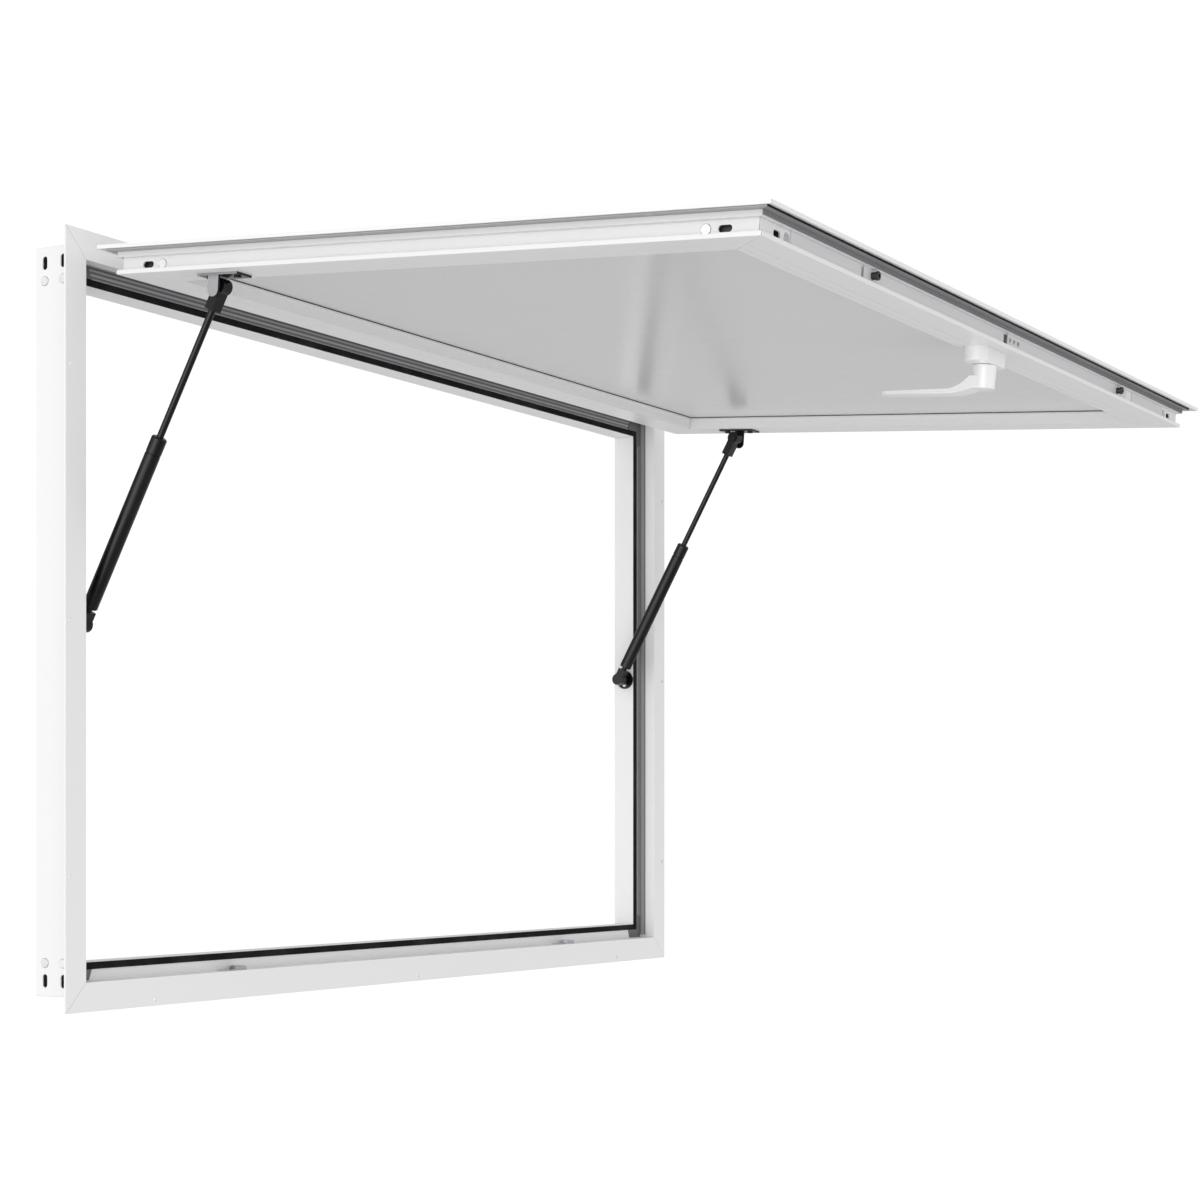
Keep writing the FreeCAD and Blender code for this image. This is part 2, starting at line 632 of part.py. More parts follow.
def hinge_sash_leaf():
    """The leaf that lies on the sash's skin, rising over the lip to its knuckles."""
    body = new_body("hinge_sash_leaf", SASH)
    skin, thick = -size("hinge_rise"), size("leaf")
    drop, end, radius = size("leaf_drop"), size("leaf_end"), size("knuckle_radius")
    angle = new_sketch(body, "YZ_Plane")
    outline(angle, [(-drop, radius), (-drop, skin), (-end, skin), (-end, skin + thick),
                    (-drop - thick, skin + thick), (-drop - thick, radius)])
    pad(body, angle, size("hinge_length"), both_ways=True)
    arm = [(0, radius), (-drop - 1, radius), (-drop - 1, radius - thick), (0, radius - thick)]
    knuckle_row(body, arm, 1, 7)
    rivet_row(body, "XY_Plane", -size("sash_rivet_along"), size("leaf_rivet"), 40)


def hinge_pin():
    """The steel wire through all the knuckles."""
    pin = doc.addObject("Part::Cylinder", "hinge_pin")
    pin.Label = "hinge_pin"
    pin.setExpression("Radius", "Sizes.hinge_pin_radius")
    pin.setExpression("Height", "Sizes.hinge_length")
    pin.Placement = HINGE.multiply(turned(Y_AXIS, 90, (-SIZES["hinge_length"] / 2, 0, 0)))


def hinge_rivet_x():
    return [(number + 0.5) * RIVET_PITCH - SIZES["hinge_length"] / 2 for number in range(LEAF_RIVETS)]


def hinge_rivets():
    """Two rows of small rivets: through the frame's leaf and through the sash's leaf."""
    shank = SIZES["leaf_rivet"] - 0.05
    head, leaf = SIZES["leaf_rivet_head"], SIZES["leaf"]
    frame_rivet = headed(head, 1, shank, leaf + SIZES["flange_thick"] - 0.2)
    sash_rivet = headed(head, 1, shank, leaf + SIZES["skin"] + SIZES["rail_wall"])
    front, low = FACE_Y - SIZES["leaf"], SIZES["hinge_z"] - SIZES["frame_rivet_low"]
    top = SKIN_Z + SIZES["leaf"]
    on_frame = [placed(frame_rivet, facing((0, -1, 0), (x, front, low))) for x in hinge_rivet_x()]
    on_leaf = [placed(sash_rivet, facing((0, 0, 1), (x, -SIZES["sash_rivet_along"], top)))
               for x in hinge_rivet_x()]
    group("hinge_frame_rivets", on_frame)
    group("hinge_sash_rivets", on_leaf, SASH)


hinge_frame_leaf()
hinge_sash_leaf()
hinge_pin()
hinge_rivets()
rivet_row(doc.getObject("frame_head"), "XZ_Plane",
          size("frame_height") / 2 - size("hinge_z") + size("frame_rivet_low"), size("leaf_rivet"), 2.4)


# ---------------------------------------------------------------- sash

FACE_MIDDLE = (SIZES["face_near"] + SIZES["face_far"]) / 2


def rail_profile(sketch, over):
    """Sash rail section: x is the way in from the recessed side face, y is minus the depth below the skin."""
    wide, thick, panel = size("rail_wide"), size("sash_thick"), size("panel_depth")
    near, far, under = size("channel_near"), size("channel_far"), size("channel_under")
    floor, lip, rib = size("channel_floor"), size("channel_lip"), size("rib")
    skin, fin = size("skin"), size("fin")
    bead, wall, hem = size("bead_over"), size("rail_wall"), size("hem")
    groove, bottom = size("line_wide"), size("line_deep") - thick
    lines = []
    for line in (size("bead_line_far"), size("bead_line")):
        lines += [(line + groove, -thick), (line + groove, bottom), (line, bottom), (line, -thick)]
    outline(sketch, [
        (-over, 0), (hem - over, 0), (hem - over, -skin), (wide, -skin), (wide, -panel),
        (wide + bead, -panel), (wide + bead, -size("bead_far")), (wide, -size("bead_far")), (wide, -thick),
        *lines, (-rib, -thick), (-rib, -far), (lip, -far), (lip, -(far + under)), (floor, -(far + under)),
        (floor, -(near - under)), (lip, -(near - under)), (lip, -near), (-rib, -near),
        (-rib, -size("rib_near")), (0, -size("rib_near")), (0, -fin), (hem - over, -fin),
        (hem - over, -size("hem_depth")), (-over, -size("hem_depth")),
    ])
    web = size("rail_web")
    box_outline(sketch, floor + wall, -(skin + wall), web, wall - thick)
    box_outline(sketch, web + wall, -(skin + wall), wide - wall, wall - thick)


def sash_rail(name, length, over, placement):
    """One mitred rail of the sash, along its own X, with corner slots and rivet holes in its channel."""
    body = new_body(name, SASH.multiply(placement))
    profile = new_sketch(body, "YZ_Plane")
    rail_profile(profile, over)
    pad(body, profile, length + 2 * size("lip_over"), both_ways=True)
    mitre(body, length, "XY_Plane", size("rail_wide") + size("bead_over"), -size("lip_over"))
    fixings = new_sketch(body, "XZ_Plane")
    for side in (1, -1):
        line = -size("sash_key_line")
        round_slot(fixings, side * (length / 2 - size("sash_slot_end")), line, size("slot_length"),
                   size("slot_width"))
        circle(fixings, side * (length / 2 - size("sash_rivet_end")), line, size("rivet_shank"))
    pocket(body, fixings, size("channel_floor") + size("rail_wall") + 0.1)
    rims = new_sketch(body, "XZ_Plane")
    for side in (1, -1):
        circle(rims, side * (length / 2 - size("sash_rivet_end")), -size("sash_key_line"),
               size("rivet_head") + size("rivet_rim"))
    pocket(body, rims, size("channel_floor") + size("rivet_sink"))
    return body


def trim_hinge_end(body, side):
    """Stop a side rail's lip in line with the sash's hinge edge."""
    half = (size("face_far") - size("face_near")) / 2
    edge = half + size("face_near") - size("lip_near")
    sketch = new_sketch(body, "XY_Plane")
    box_outline(sketch, side * edge, -size("lip_over") - 5, side * (edge + 10), 0)
    pocket(body, sketch, 100, both_ways=True)


def lock_rail_openings(body):
    """A window in the channel for the drive block, a relief at the left bar's end, and the handle's holes."""
    window = new_sketch(body, "XZ_Plane")
    box_outline(window, -size("window_left"), -(size("block_far") + 0.5), size("window_right"),
                -(size("block_near") - 0.5))
    pocket(body, window, size("channel_floor") + size("rail_wall") + 0.1)
    relief = new_sketch(body, "XZ_Plane")
    box_outline(relief, -(size("bar_left_end") + size("filler_gap")), -(size("block_far") + 0.5),
                0.5 - size("bar_left_end"), -(size("block_near") - 0.5))
    pocket(body, relief, size("channel_floor") + size("rail_wall") + 0.1)
    hole = new_sketch(body, "XY_Plane", -size("sash_thick"))
    circle(hole, 0, size("handle_back"), size("spindle_hole"))
    for side in (1, -1):
        circle(hole, side * size("base_screw"), size("handle_back"), 2.1)
    pocket(body, hole, size("rail_wall") + 0.1, reverse=True)


def hinge_rail_holes(body):
    """Holes under the hinge leaf; the rail is turned round, so the row runs the same either way."""
    across = size("sash_rivet_along") - size("face_near")
    rivet_row(body, "XY_Plane", across, size("leaf_rivet"), size("skin") + size("rail_wall") + 0.1)


RAIL_PLACES = {
    "sash_lock_rail": turned(Z_AXIS, 0, (0, -SIZES["face_far"], SKIN_Z)),
    "sash_hinge_rail": turned(Z_AXIS, 180, (0, -SIZES["face_near"], SKIN_Z)),
    "sash_rail_right": turned(Z_AXIS, 90, (SIZES["face_half"], -FACE_MIDDLE, SKIN_Z)),
    "sash_rail_left": turned(Z_AXIS, -90, (-SIZES["face_half"], -FACE_MIDDLE, SKIN_Z)),
}
CROSS_LENGTH = 2 * size("face_half")
SIDE_LENGTH = size("face_far") - size("face_near")

lock_rail = sash_rail("sash_lock_rail", CROSS_LENGTH, size("lip_over"), RAIL_PLACES["sash_lock_rail"])
lock_rail_openings(lock_rail)
hinge_rail = sash_rail("sash_hinge_rail", CROSS_LENGTH, size("face_near") - size("lip_near"),
                       RAIL_PLACES["sash_hinge_rail"])
hinge_rail_holes(hinge_rail)
for rail_name, rail_side in (("sash_rail_right", 1), ("sash_rail_left", -1)):
    side_rail = sash_rail(rail_name, SIDE_LENGTH, size("lip_over"), RAIL_PLACES[rail_name])
    trim_hinge_end(side_rail, rail_side)


def sash_corners():
    """The four corners of the sash: each turns a piece drawn for the lock side's left corner."""
    half, near, far = SIZES["face_half"], SIZES["face_near"], SIZES["face_far"]
    return [
        turned(Z_AXIS, 0, (-half, -far, SKIN_Z)), turned(Z_AXIS, 90, (half, -far, SKIN_Z)),
        turned(Z_AXIS, 180, (half, -near, SKIN_Z)), turned(Z_AXIS, -90, (-half, -near, SKIN_Z)),
    ]


def sash_corner_pieces():
    """A key in each corner and a rivet into each of its legs."""
    low = SIZES["channel_floor"] + SIZES["rail_wall"] + SIZES["key_play"]
    near = SIZES["skin"] + SIZES["rail_wall"] + SIZES["key_play"]
    far = SIZES["sash_thick"] - SIZES["rail_wall"] - SIZES["key_play"]
    floor = SIZES["channel_floor"] + SIZES["rivet_sink"]
    rivet_at, line = SIZES["sash_rivet_end"], SIZES["sash_key_line"]
    key = corner_key(low, SIZES["key_width"], SIZES["sash_key_leg"], near, far, line,
                     SIZES["sash_slot_end"], rivet_at)
    rivet = headed(SIZES["rivet_head"], SIZES["rivet_head_thick"], SIZES["rivet_shank"] - 0.1,
                   SIZES["rivet_length"] - 2)
    lay_flat = turned(X_AXIS, -90)
    keys, rivets = [], []
    for corner in sash_corners():
        keys.append(placed(key, corner.multiply(lay_flat)))
        rivets.append(placed(rivet, corner.multiply(facing((0, -1, 0), (rivet_at, floor, -line)))))
        rivets.append(placed(rivet, corner.multiply(facing((-1, 0, 0), (floor, rivet_at, -line)))))
    group("sash_corner_keys", keys, SASH)
    group("sash_corner_rivets", rivets, SASH)


def panel_sheet(name, half, near, far, top, bottom):
    """A flat sheet of the sash between two depths below the skin."""
    sheet_box = doc.addObject("Part::Box", name)
    sheet_box.Label = name
    sheet_box.setExpression("Length", (2 * half).text)
    sheet_box.setExpression("Width", (far - near).text)
    sheet_box.setExpression("Height", (bottom - top).text)
    corner = on_sash(-half.value, far.value, bottom.value)
    sheet_box.Placement = SASH.multiply(FreeCAD.Placement(corner, FreeCAD.Rotation()))
    return sheet_box


def sash_skin():
    """The outer sheet, let into the rails' hems and drilled for the hinge's rivets."""
    body = new_body("sash_outer_skin", SASH)
    play = fixed(0.1)
    half = size("face_half") + size("lip_over") - size("hem") - play
    near = size("lip_near") + size("hem") + play
    far = size("face_far") + size("lip_over") - size("hem") - play
    sketch = new_sketch(body, "XY_Plane", -size("hinge_rise"))
    box_outline(sketch, -half, -far, half, -near)
    pad(body, sketch, size("skin"), reverse=True)
    rivet_row(body, "XY_Plane", -size("sash_rivet_along"), size("leaf_rivet"), 40)


def sash_seals():
    """Rubber strips under the lip; the lock side's strip also covers the face of its rib."""
    far, near, fin = SIZES["seal_far"], SIZES["seal_near"], SIZES["fin"]
    low = fin + SIZES["seal_thick"]
    flat = [(fin, -far), (fin, -near), (low, -near), (low, 0.6 - far), (low - 0.6, -far)]
    lay_flat = turned(X_AXIS, -90)
    strips = []
    for name, length in (("sash_hinge_rail", CROSS_LENGTH), ("sash_rail_right", SIDE_LENGTH),
                         ("sash_rail_left", SIDE_LENGTH)):
        strip = mitred_strip(length.value, flat, -near, -far)
        strips.append(placed(strip, RAIL_PLACES[name].multiply(lay_flat)))
    group("seal_strips", strips, SASH)
    face = near + SIZES["seal_face"]
    hooked = [(fin, -far), (fin, -near), (SIZES["seal_low"], -near), (SIZES["seal_low"], -face),
              (low, -face), (low, -far)]
    strip = mitred_strip(CROSS_LENGTH.value, hooked, -near, -far)
    group("seal_strip_lock", [placed(strip, RAIL_PLACES["sash_lock_rail"].multiply(lay_flat))], SASH)


def panel_gasket():
    """A thin rubber bead in the corner between the inner panel and the rails."""
    width, top = SIZES["panel_gasket"], SIZES["panel_depth"]
    edge = SIZES["rail_wide"] + SIZES["bead_over"]
    section = [(top, edge), (top + width, edge), (top + width, edge + width), (top, edge + width)]
    lay_flat = turned(X_AXIS, -90)
    strips = []
    for name, length in (("sash_lock_rail", CROSS_LENGTH), ("sash_hinge_rail", CROSS_LENGTH),
                         ("sash_rail_right", SIDE_LENGTH), ("sash_rail_left", SIDE_LENGTH)):
        strip = mitred_strip(length.value, section, edge + width, edge)
        strips.append(placed(strip, RAIL_PLACES[name].multiply(lay_flat)))
    return group("panel_gasket", strips, SASH)


sash_corner_pieces()
sash_skin()
sash_seals()
panel_gasket()
panel_sheet("sash_core", size("face_half") - size("rail_wide"), size("face_near") + size("rail_wide"),
            size("face_far") - size("rail_wide"), size("skin"), size("panel_depth") - size("skin"))
panel_sheet("sash_inner_panel", size("face_half") - size("rail_wide"), size("face_near") + size("rail_wide"),
            size("face_far") - size("rail_wide"), size("panel_depth") - size("skin"), size("panel_depth"))


# ---------------------------------------------------------------- lock

LOCK = SASH.multiply(RAIL_PLACES["sash_lock_rail"])


def locking_bar(name, left, right):
    """A flat bar that slides in the lock rail's channel."""
    body = new_body(name, LOCK)
    sketch = new_sketch(body, "XZ_Plane", -size("bar_play"))
    top = size("channel_near") - size("channel_under") + size("bar_play")
    bottom = size("channel_far") + size("channel_under") - size("bar_play")
    box_outline(sketch, left, -bottom, right, -top)
    pad(body, sketch, size("bar_thick") - size("bar_play"), reverse=True)
    return body


def channel_fillers():
    """Two fixed strips that close the channel between each bar's end and the corner rivet."""
    play = SIZES["bar_play"]
    top = SIZES["channel_near"] - SIZES["channel_under"] + play
    bottom = SIZES["channel_far"] + SIZES["channel_under"] - play
    left_end = SIZES["bar_left_end"] + SIZES["filler_gap"]
    right_start = SIZES["bar_right_end"] + SIZES["lock_travel"] + SIZES["filler_gap"]
    shapes = []
    for start, end in ((-SIZES["filler_end"], -left_end), (right_start, SIZES["filler_end"])):
        corner = V(start, play, -bottom)
        shapes.append(Part.makeBox(end - start, SIZES["channel_floor"] - play, bottom - top, corner))
    return group("channel_fillers", shapes, LOCK)


def drive_block():
    """The block behind the bars, with a forked tail round the crank's pin."""
    body = new_body("lock_drive_block", LOCK)
    near, far = size("fork_near"), size("fork_far")
    left, right, deep = size("block_left"), size("block_right"), size("block_deep")
    base = size("bar_thick")
    bar = new_sketch(body, "XY_Plane", -size("block_far"))
    box_outline(bar, -left, base, right, deep)
    pad(body, bar, size("block_far") - size("block_near"))
    tail = new_sketch(body, "XY_Plane", -far)
    middle, half, slot = -size("crank_offset"), size("fork_half"), size("fork_slot")
    box_outline(tail, middle - half, deep - 1, middle + half, size("fork_deep"))
    pad(body, tail, far - near)
    mouth = new_sketch(body, "XY_Plane")
    box_outline(mouth, middle - slot, deep + 2, middle + slot, size("fork_deep") + 1)
    pocket(body, mouth, 60)
    return body


def locking_pins():
    """A headed pin with a hexagon socket near the end of each bar."""
    head, neck, height = SIZES["pin_head"], SIZES["pin_neck"], SIZES["pin_height"]
    pin = Part.makeCylinder(neck, height - 3)
    pin = pin.fuse([Part.makeCylinder(head, 2.4, V(0, 0, height - 3)),
                    Part.makeCone(head, head - 0.6, 0.6, V(0, 0, height - 0.6))])
    socket = [V(SIZES["pin_socket"] * math.cos(math.radians(60 * i)),
                SIZES["pin_socket"] * math.sin(math.radians(60 * i)), height - 2) for i in range(7)]
    pin = pin.removeSplitter().cut(Part.Face(Part.makePolygon(socket)).extrude(V(0, 0, 5)))
    shapes = []
    for x in (-SIZES["pin_spread"], SIZES["pin_spread"]):
        base = (x, SIZES["bar_play"], -SIZES["pin_line"])
        shapes.append(placed(pin, facing((0, -1, 0), base)))
    return group("locking_pins", shapes, LOCK)


def bar_screws():
    """Three cap screws that hold the right bar to the drive block."""
    screw = headed(2.6, 1.1, 1.2, SIZES["bar_thick"] - SIZES["bar_play"])
    recess = [V(1.2 * math.cos(math.radians(60 * i)), 1.2 * math.sin(math.radians(60 * i)), 0.3)
              for i in range(7)]
    screw = screw.cut(Part.Face(Part.makePolygon(recess)).extrude(V(0, 0, 3)))
    shapes = []
    for x in bar_screw_places():
        shapes.append(placed(screw, facing((0, -1, 0), (x, SIZES["bar_play"], -SIZES["pin_line"]))))
    return group("locking_bar_screws", shapes, LOCK)


def bar_screw_places():
    return (3, 15.5, 29)


def screw_holes_in_bar(body):
    sketch = new_sketch(body, "XZ_Plane")
    for x in bar_screw_places():
        circle(sketch, x, -size("pin_line"), 1.25)
    pocket(body, sketch, size("bar_thick") + 1)


locking_bar("locking_bar_left", -size("bar_left_end"), -size("bar_gap_left"))
right_bar = locking_bar("locking_bar_right", -size("bar_gap_right"), size("bar_right_end"))
screw_holes_in_bar(right_bar)
channel_fillers()
drive_block()
locking_pins()
bar_screws()


# ---------------------------------------------------------------- handle

# The handle's own frame: origin on the spindle at the sash's inner face, Z out into the room,
# Y towards the hinge when the lock is open, and X to the left seen from outside.
HANDLE = SASH.multiply(FreeCAD.Placement(
    on_sash(0, SIZES["face_far"] - SIZES["handle_back"], SIZES["sash_thick"]),
    FreeCAD.Rotation(V(0, 1, 0), 180)))


def rosette_base():
    """The screwed plate under the handle's cover."""
    body = new_body("handle_base_plate", HANDLE)
    sketch = new_sketch(body, "XY_Plane")
    play = 2 * (size("rosette_wall") + 0.3)
    round_slot(sketch, 0, 0, size("rosette_long") - play, size("rosette_wide") - play)
    circle(sketch, 0, 0, size("spindle_hole"))
    for side in (1, -1):
        circle(sketch, side * size("base_screw"), 0, 2.1)
    pad(body, sketch, size("rosette_base"))


def base_screws():
    """Pan-headed screws through the base plate into the rail's wall."""
    screw = headed(3.8, 2.2, 2, SIZES["rosette_base"] + SIZES["rail_wall"])
    places = [(side * SIZES["base_screw"], 0, SIZES["rosette_base"]) for side in (-1, 1)]
    group("handle_base_screws", [placed(screw, turned(Z_AXIS, 0, place)) for place in places], HANDLE)


def rosette_cover():
    """The stadium-shaped shell that clips over the base plate."""
    body = new_body("handle_cover", HANDLE)
    outer = new_sketch(body, "XY_Plane")
    round_slot(outer, 0, 0, size("rosette_long"), size("rosette_wide"))
    shell = pad(body, outer, size("rosette_high"))
    round_edges(body, shell, 2.2, lambda edge: edge.BoundBox.ZMin > SIZES["rosette_high"] - 0.01)
    inner = new_sketch(body, "XY_Plane")
    double = 2 * size("rosette_wall")
    round_slot(inner, 0, 0, size("rosette_long") - double, size("rosette_wide") - double)
    pocket(body, inner, size("rosette_high") - size("rosette_wall") - 0.4, reverse=True)
    hole = new_sketch(body, "XY_Plane")
    circle(hole, 0, 0, size("rosette_hole"))
    pocket(body, hole, size("rosette_high") + 1, reverse=True)


def round_edges(body, feature, radius, wanted):
    """Fillet the edges of a feature that pass a test."""
    names = ["Edge%d" % (number + 1) for number, edge in enumerate(feature.Shape.Edges) if wanted(edge)]
    fillet = body.newObject("PartDesign::Fillet", body.Name + "_fillet")
    fillet.Base = (feature, names)
    fillet.Radius = radius
    doc.recompute()
    return fillet


def tapered_outline(sketch, near_radius, far_radius, reach):
    """Two round ends of different size, joined by lines that touch both."""
    gap = reach - far_radius
    lean = math.asin((near_radius.value - far_radius.value) / gap.value)
    ends = []
    for middle, radius in ((0, near_radius.value), (gap.value, far_radius.value)):
        ends.append((V(radius * math.cos(lean), middle + radius * math.sin(lean), 0),
                     V(-radius * math.cos(lean), middle + radius * math.sin(lean), 0)))
    near_circle = Part.Circle(V(0, 0, 0), V(0, 0, 1), near_radius.value)
    far_circle = Part.Circle(V(0, gap.value, 0), V(0, 0, 1), far_radius.value)
    near_end = sketch.GeometryCount
    far_end = near_end + 2
    sketch.addGeometry(Part.ArcOfCircle(near_circle, math.pi - lean, 2 * math.pi + lean), False)
    sketch.addGeometry(Part.LineSegment(ends[0][0], ends[1][0]), False)
    sketch.addGeometry(Part.ArcOfCircle(far_circle, lean, math.pi - lean), False)
    sketch.addGeometry(Part.LineSegment(ends[1][1], ends[0][1]), False)
    for first, second in ((0, 1), (1, 2), (2, 3), (3, 0)):
        sketch.addConstraint(Sketcher.Constraint("Tangent", near_end + first, 2, near_end + second, 1))
    pin_point(sketch, near_end, 3, fixed(0), fixed(0))
    pin_point(sketch, far_end, 3, fixed(0), gap)
    for index, radius in ((near_end, near_radius), (far_end, far_radius)):
        number = sketch.addConstraint(Sketcher.Constraint("Radius", index, radius.value))
        sketch.setExpression("Constraints[%d]" % number, radius.text)


def arc_outline(sketch, start, steps):
    """A closed outline from a start point; a step is a point, or a middle and an end point of an arc."""
    spot, first = start, sketch.GeometryCount
    for step in steps:
        end = step[-1]
        here, there = V(spot[0].value, spot[1].value, 0), V(end[0].value, end[1].value, 0)
        if len(step) == 2:
            middle = V(step[0][0].value, step[0][1].value, 0)
            edge = Part.Arc(here, middle, there).toShape()
            sketch.addGeometry(Part.ArcOfCircle(edge.Curve, edge.FirstParameter, edge.LastParameter), False)
        else:
            sketch.addGeometry(Part.LineSegment(here, there), False)
        spot = end
    count = len(steps)
    ends = []
    for number in range(first, first + count):
        opening = start if number == first else steps[number - first - 1][-1]
        corner = V(opening[0].value, opening[1].value, 0)
        near_first = sketch.getPoint(number, 1).distanceToPoint(corner) < 1e-6
        ends.append((1, 2) if near_first else (2, 1))
    for number in range(count):
        after = (number + 1) % count
        sketch.addConstraint(Sketcher.Constraint(
            "Coincident", first + number, ends[number][1], first + after, ends[after][0]))
        pin_point(sketch, first + number, ends[number][1], *steps[number][-1])
        if len(steps[number]) == 2:
            radius = sketch.Geometry[first + number].Radius
            sketch.addConstraint(Sketcher.Constraint("Radius", first + number, radius))


def lever():
    """The lever: a neck in the cover, a hub, and a cranked arm that sweeps out to a flat blade."""
    body = new_body("handle_lever", HANDLE)
    face = size("sash_thick")
    base, hub_end = size("rosette_high") + size("hub_gap"), size("hub_end") - face
    low, high = size("blade_low") - face, size("blade_high") - face
    radius, reach, sweep = size("hub_top"), size("lever_reach"), size("neck_reach")
    spring = hub_end - size("neck_rise")
    side_view = new_sketch(body, "YZ_Plane")
    arc_outline(side_view, (-radius, spring), [
        ((radius - 1, spring),),
        ((radius + 9, low - 6), (sweep, low)),
        ((reach, low + 0.8),),
        ((reach, high - 1.2),),
        ((sweep - 4, high),),
        ((sweep - 20, high - 2.6), (radius - 4, hub_end)),
        ((-radius, hub_end),),
        ((-radius, spring),),
    ])
    pad(body, side_view, 4 * radius, both_ways=True)
    plan = new_sketch(body, "XY_Plane")
    box_outline(plan, -40, -40, 40, reach + 20)
    tapered_outline(plan, radius, size("lever_half"), reach)
    pocket(body, plan, 100, reverse=True)
    hub = new_sketch(body, "XZ_Plane")
    outline(hub, [(0, 6), (size("neck_radius"), 6), (size("neck_radius"), base), (size("hub_radius"), base),
                  (radius, hub_end - 4), (radius, hub_end - 0.8), (radius - 0.8, hub_end), (0, hub_end)])
    spin(body, hub)
    hole = new_sketch(body, "XY_Plane")
    half = size("spindle") / 2 + 0.05
    box_outline(hole, -half, -half, half, half)
    pocket(body, hole, hub_end - 6, reverse=True)


def spindle():
    """The square bar from the lever into the crank."""
    bar = doc.addObject("Part::Box", "handle_spindle")
    bar.Label = "handle_spindle"
    start, end = size("crank_far") - size("sash_thick") - 2, size("hub_end") - size("sash_thick") - 6.2
    for side in ("Length", "Width"):
        bar.setExpression(side, "Sizes.spindle")
    bar.setExpression("Height", (end - start).text)
    half = SIZES["spindle"] / 2
    bar.Placement = HANDLE.multiply(FreeCAD.Placement(V(-half, -half, start.value), FreeCAD.Rotation()))


def crank():
    """The crank inside the rail: a hub on the spindle, an arm, and the pin in the drive block's fork."""
    body = new_body("lock_crank", HANDLE)
    thick, offset = size("sash_thick"), size("crank_offset")
    low = thick - size("crank_far")
    hub = new_sketch(body, "XY_Plane", -low)
    circle(hub, 0, 0, size("crank_hub"))
    pad(body, hub, size("crank_far") - size("crank_near"), reverse=True)
    arm = new_sketch(body, "XY_Plane", -low)
    width = size("crank_pin") + 1.5
    outline(arm, [(-width, width), (width, -width), (offset + width, -offset + width * 0.2),
                  (offset + width * 0.2, -offset - width * 0.6), (offset - width, -offset - width * 0.2)])
    pad(body, arm, size("crank_far") - size("crank_near"), reverse=True)
    pin = new_sketch(body, "XY_Plane", -low)
    circle(pin, offset, -offset, size("crank_pin"))
    pad(body, pin, size("crank_far") - size("fork_near"), reverse=True)
    hole = new_sketch(body, "XY_Plane", -low)
    half = size("spindle") / 2 + 0.05
    box_outline(hole, -half, -half, half, half)
    pocket(body, hole, 2)


rosette_base()
base_screws()
rosette_cover()
lever()
spindle()
crank()


# ---------------------------------------------------------------- struts

def strut_place(side):
    """A strut's own frame: origin at its foot pivot, Z along it to the stud on the sash."""
    foot = V(side * SIZES["strut_x"], SIZES["strut_foot_y"], SIZES["strut_foot_z"])
    depth = SIZES["sash_thick"] + SIZES["stud_below"]
    head = SASH.multVec(on_sash(side * SIZES["strut_x"], SIZES["stud_along"], depth))
    span = head - foot
    lean = math.degrees(math.atan2(-span.y, span.z))
    return turned(X_AXIS, lean, (foot.x, foot.y, foot.z)), span.Length


def strut_tube(name, place):
    """The pressure tube: a deep cup with a solid floor and a threaded stud under it."""
    body = new_body(name, place)
    half = new_sketch(body, "XZ_Plane")
    radius, bore, thread = size("tube_radius"), size("tube_bore"), size("rod_radius")
    start, floor, end = size("tube_start"), size("tube_floor"), size("tube_end")
    outline(half, [(0, size("tube_stud_start")), (thread, size("tube_stud_start")), (thread, start),
                   (radius - 1, start), (radius, start + 1), (radius, end), (bore, end), (bore, floor),
                   (0, floor)])
    spin(body, half)


def strut_gland(name, place):
    """The rod guide that closes the tube, with a narrow groove where the two meet."""
    body = new_body(name, place)
    half = new_sketch(body, "XZ_Plane")
    inner = size("rod_radius") + size("rod_play")
    plug, start, end = size("tube_bore"), size("tube_end"), size("gland_end")
    outer = size("tube_radius")
    outline(half, [(inner, start - size("gland_plug")), (plug, start - size("gland_plug")), (plug, start),
                   (outer - 0.7, start), (outer - 0.7, start + 1), (outer, start + 1.7), (outer, end - 1.5),
                   (outer - 1.5, end), (inner, end)])
    spin(body, half)


def strut_rod(name, place, length):
    """The polished rod, its lower end in the piston and its upper end in the socket."""
    body = new_body(name, place)
    half = new_sketch(body, "XZ_Plane")
    radius = size("rod_radius")
    end = fixed(length) - size("socket_length") + size("thread_length")
    outline(half, [(0, size("rod_start")), (radius, size("rod_start")), (radius, end), (0, end)])
    spin(body, half)


def strut_piston(name, place):
    """The piston on the rod's inner end, a running fit in the tube."""
    body = new_body(name, place)
    half = new_sketch(body, "XZ_Plane")
    start = size("rod_start")
    outer = size("tube_bore") - size("rod_play")
    outline(half, [(size("rod_radius"), start), (outer, start), (outer, start + size("piston_length")),
                   (size("rod_radius"), start + size("piston_length"))])
    spin(body, half)


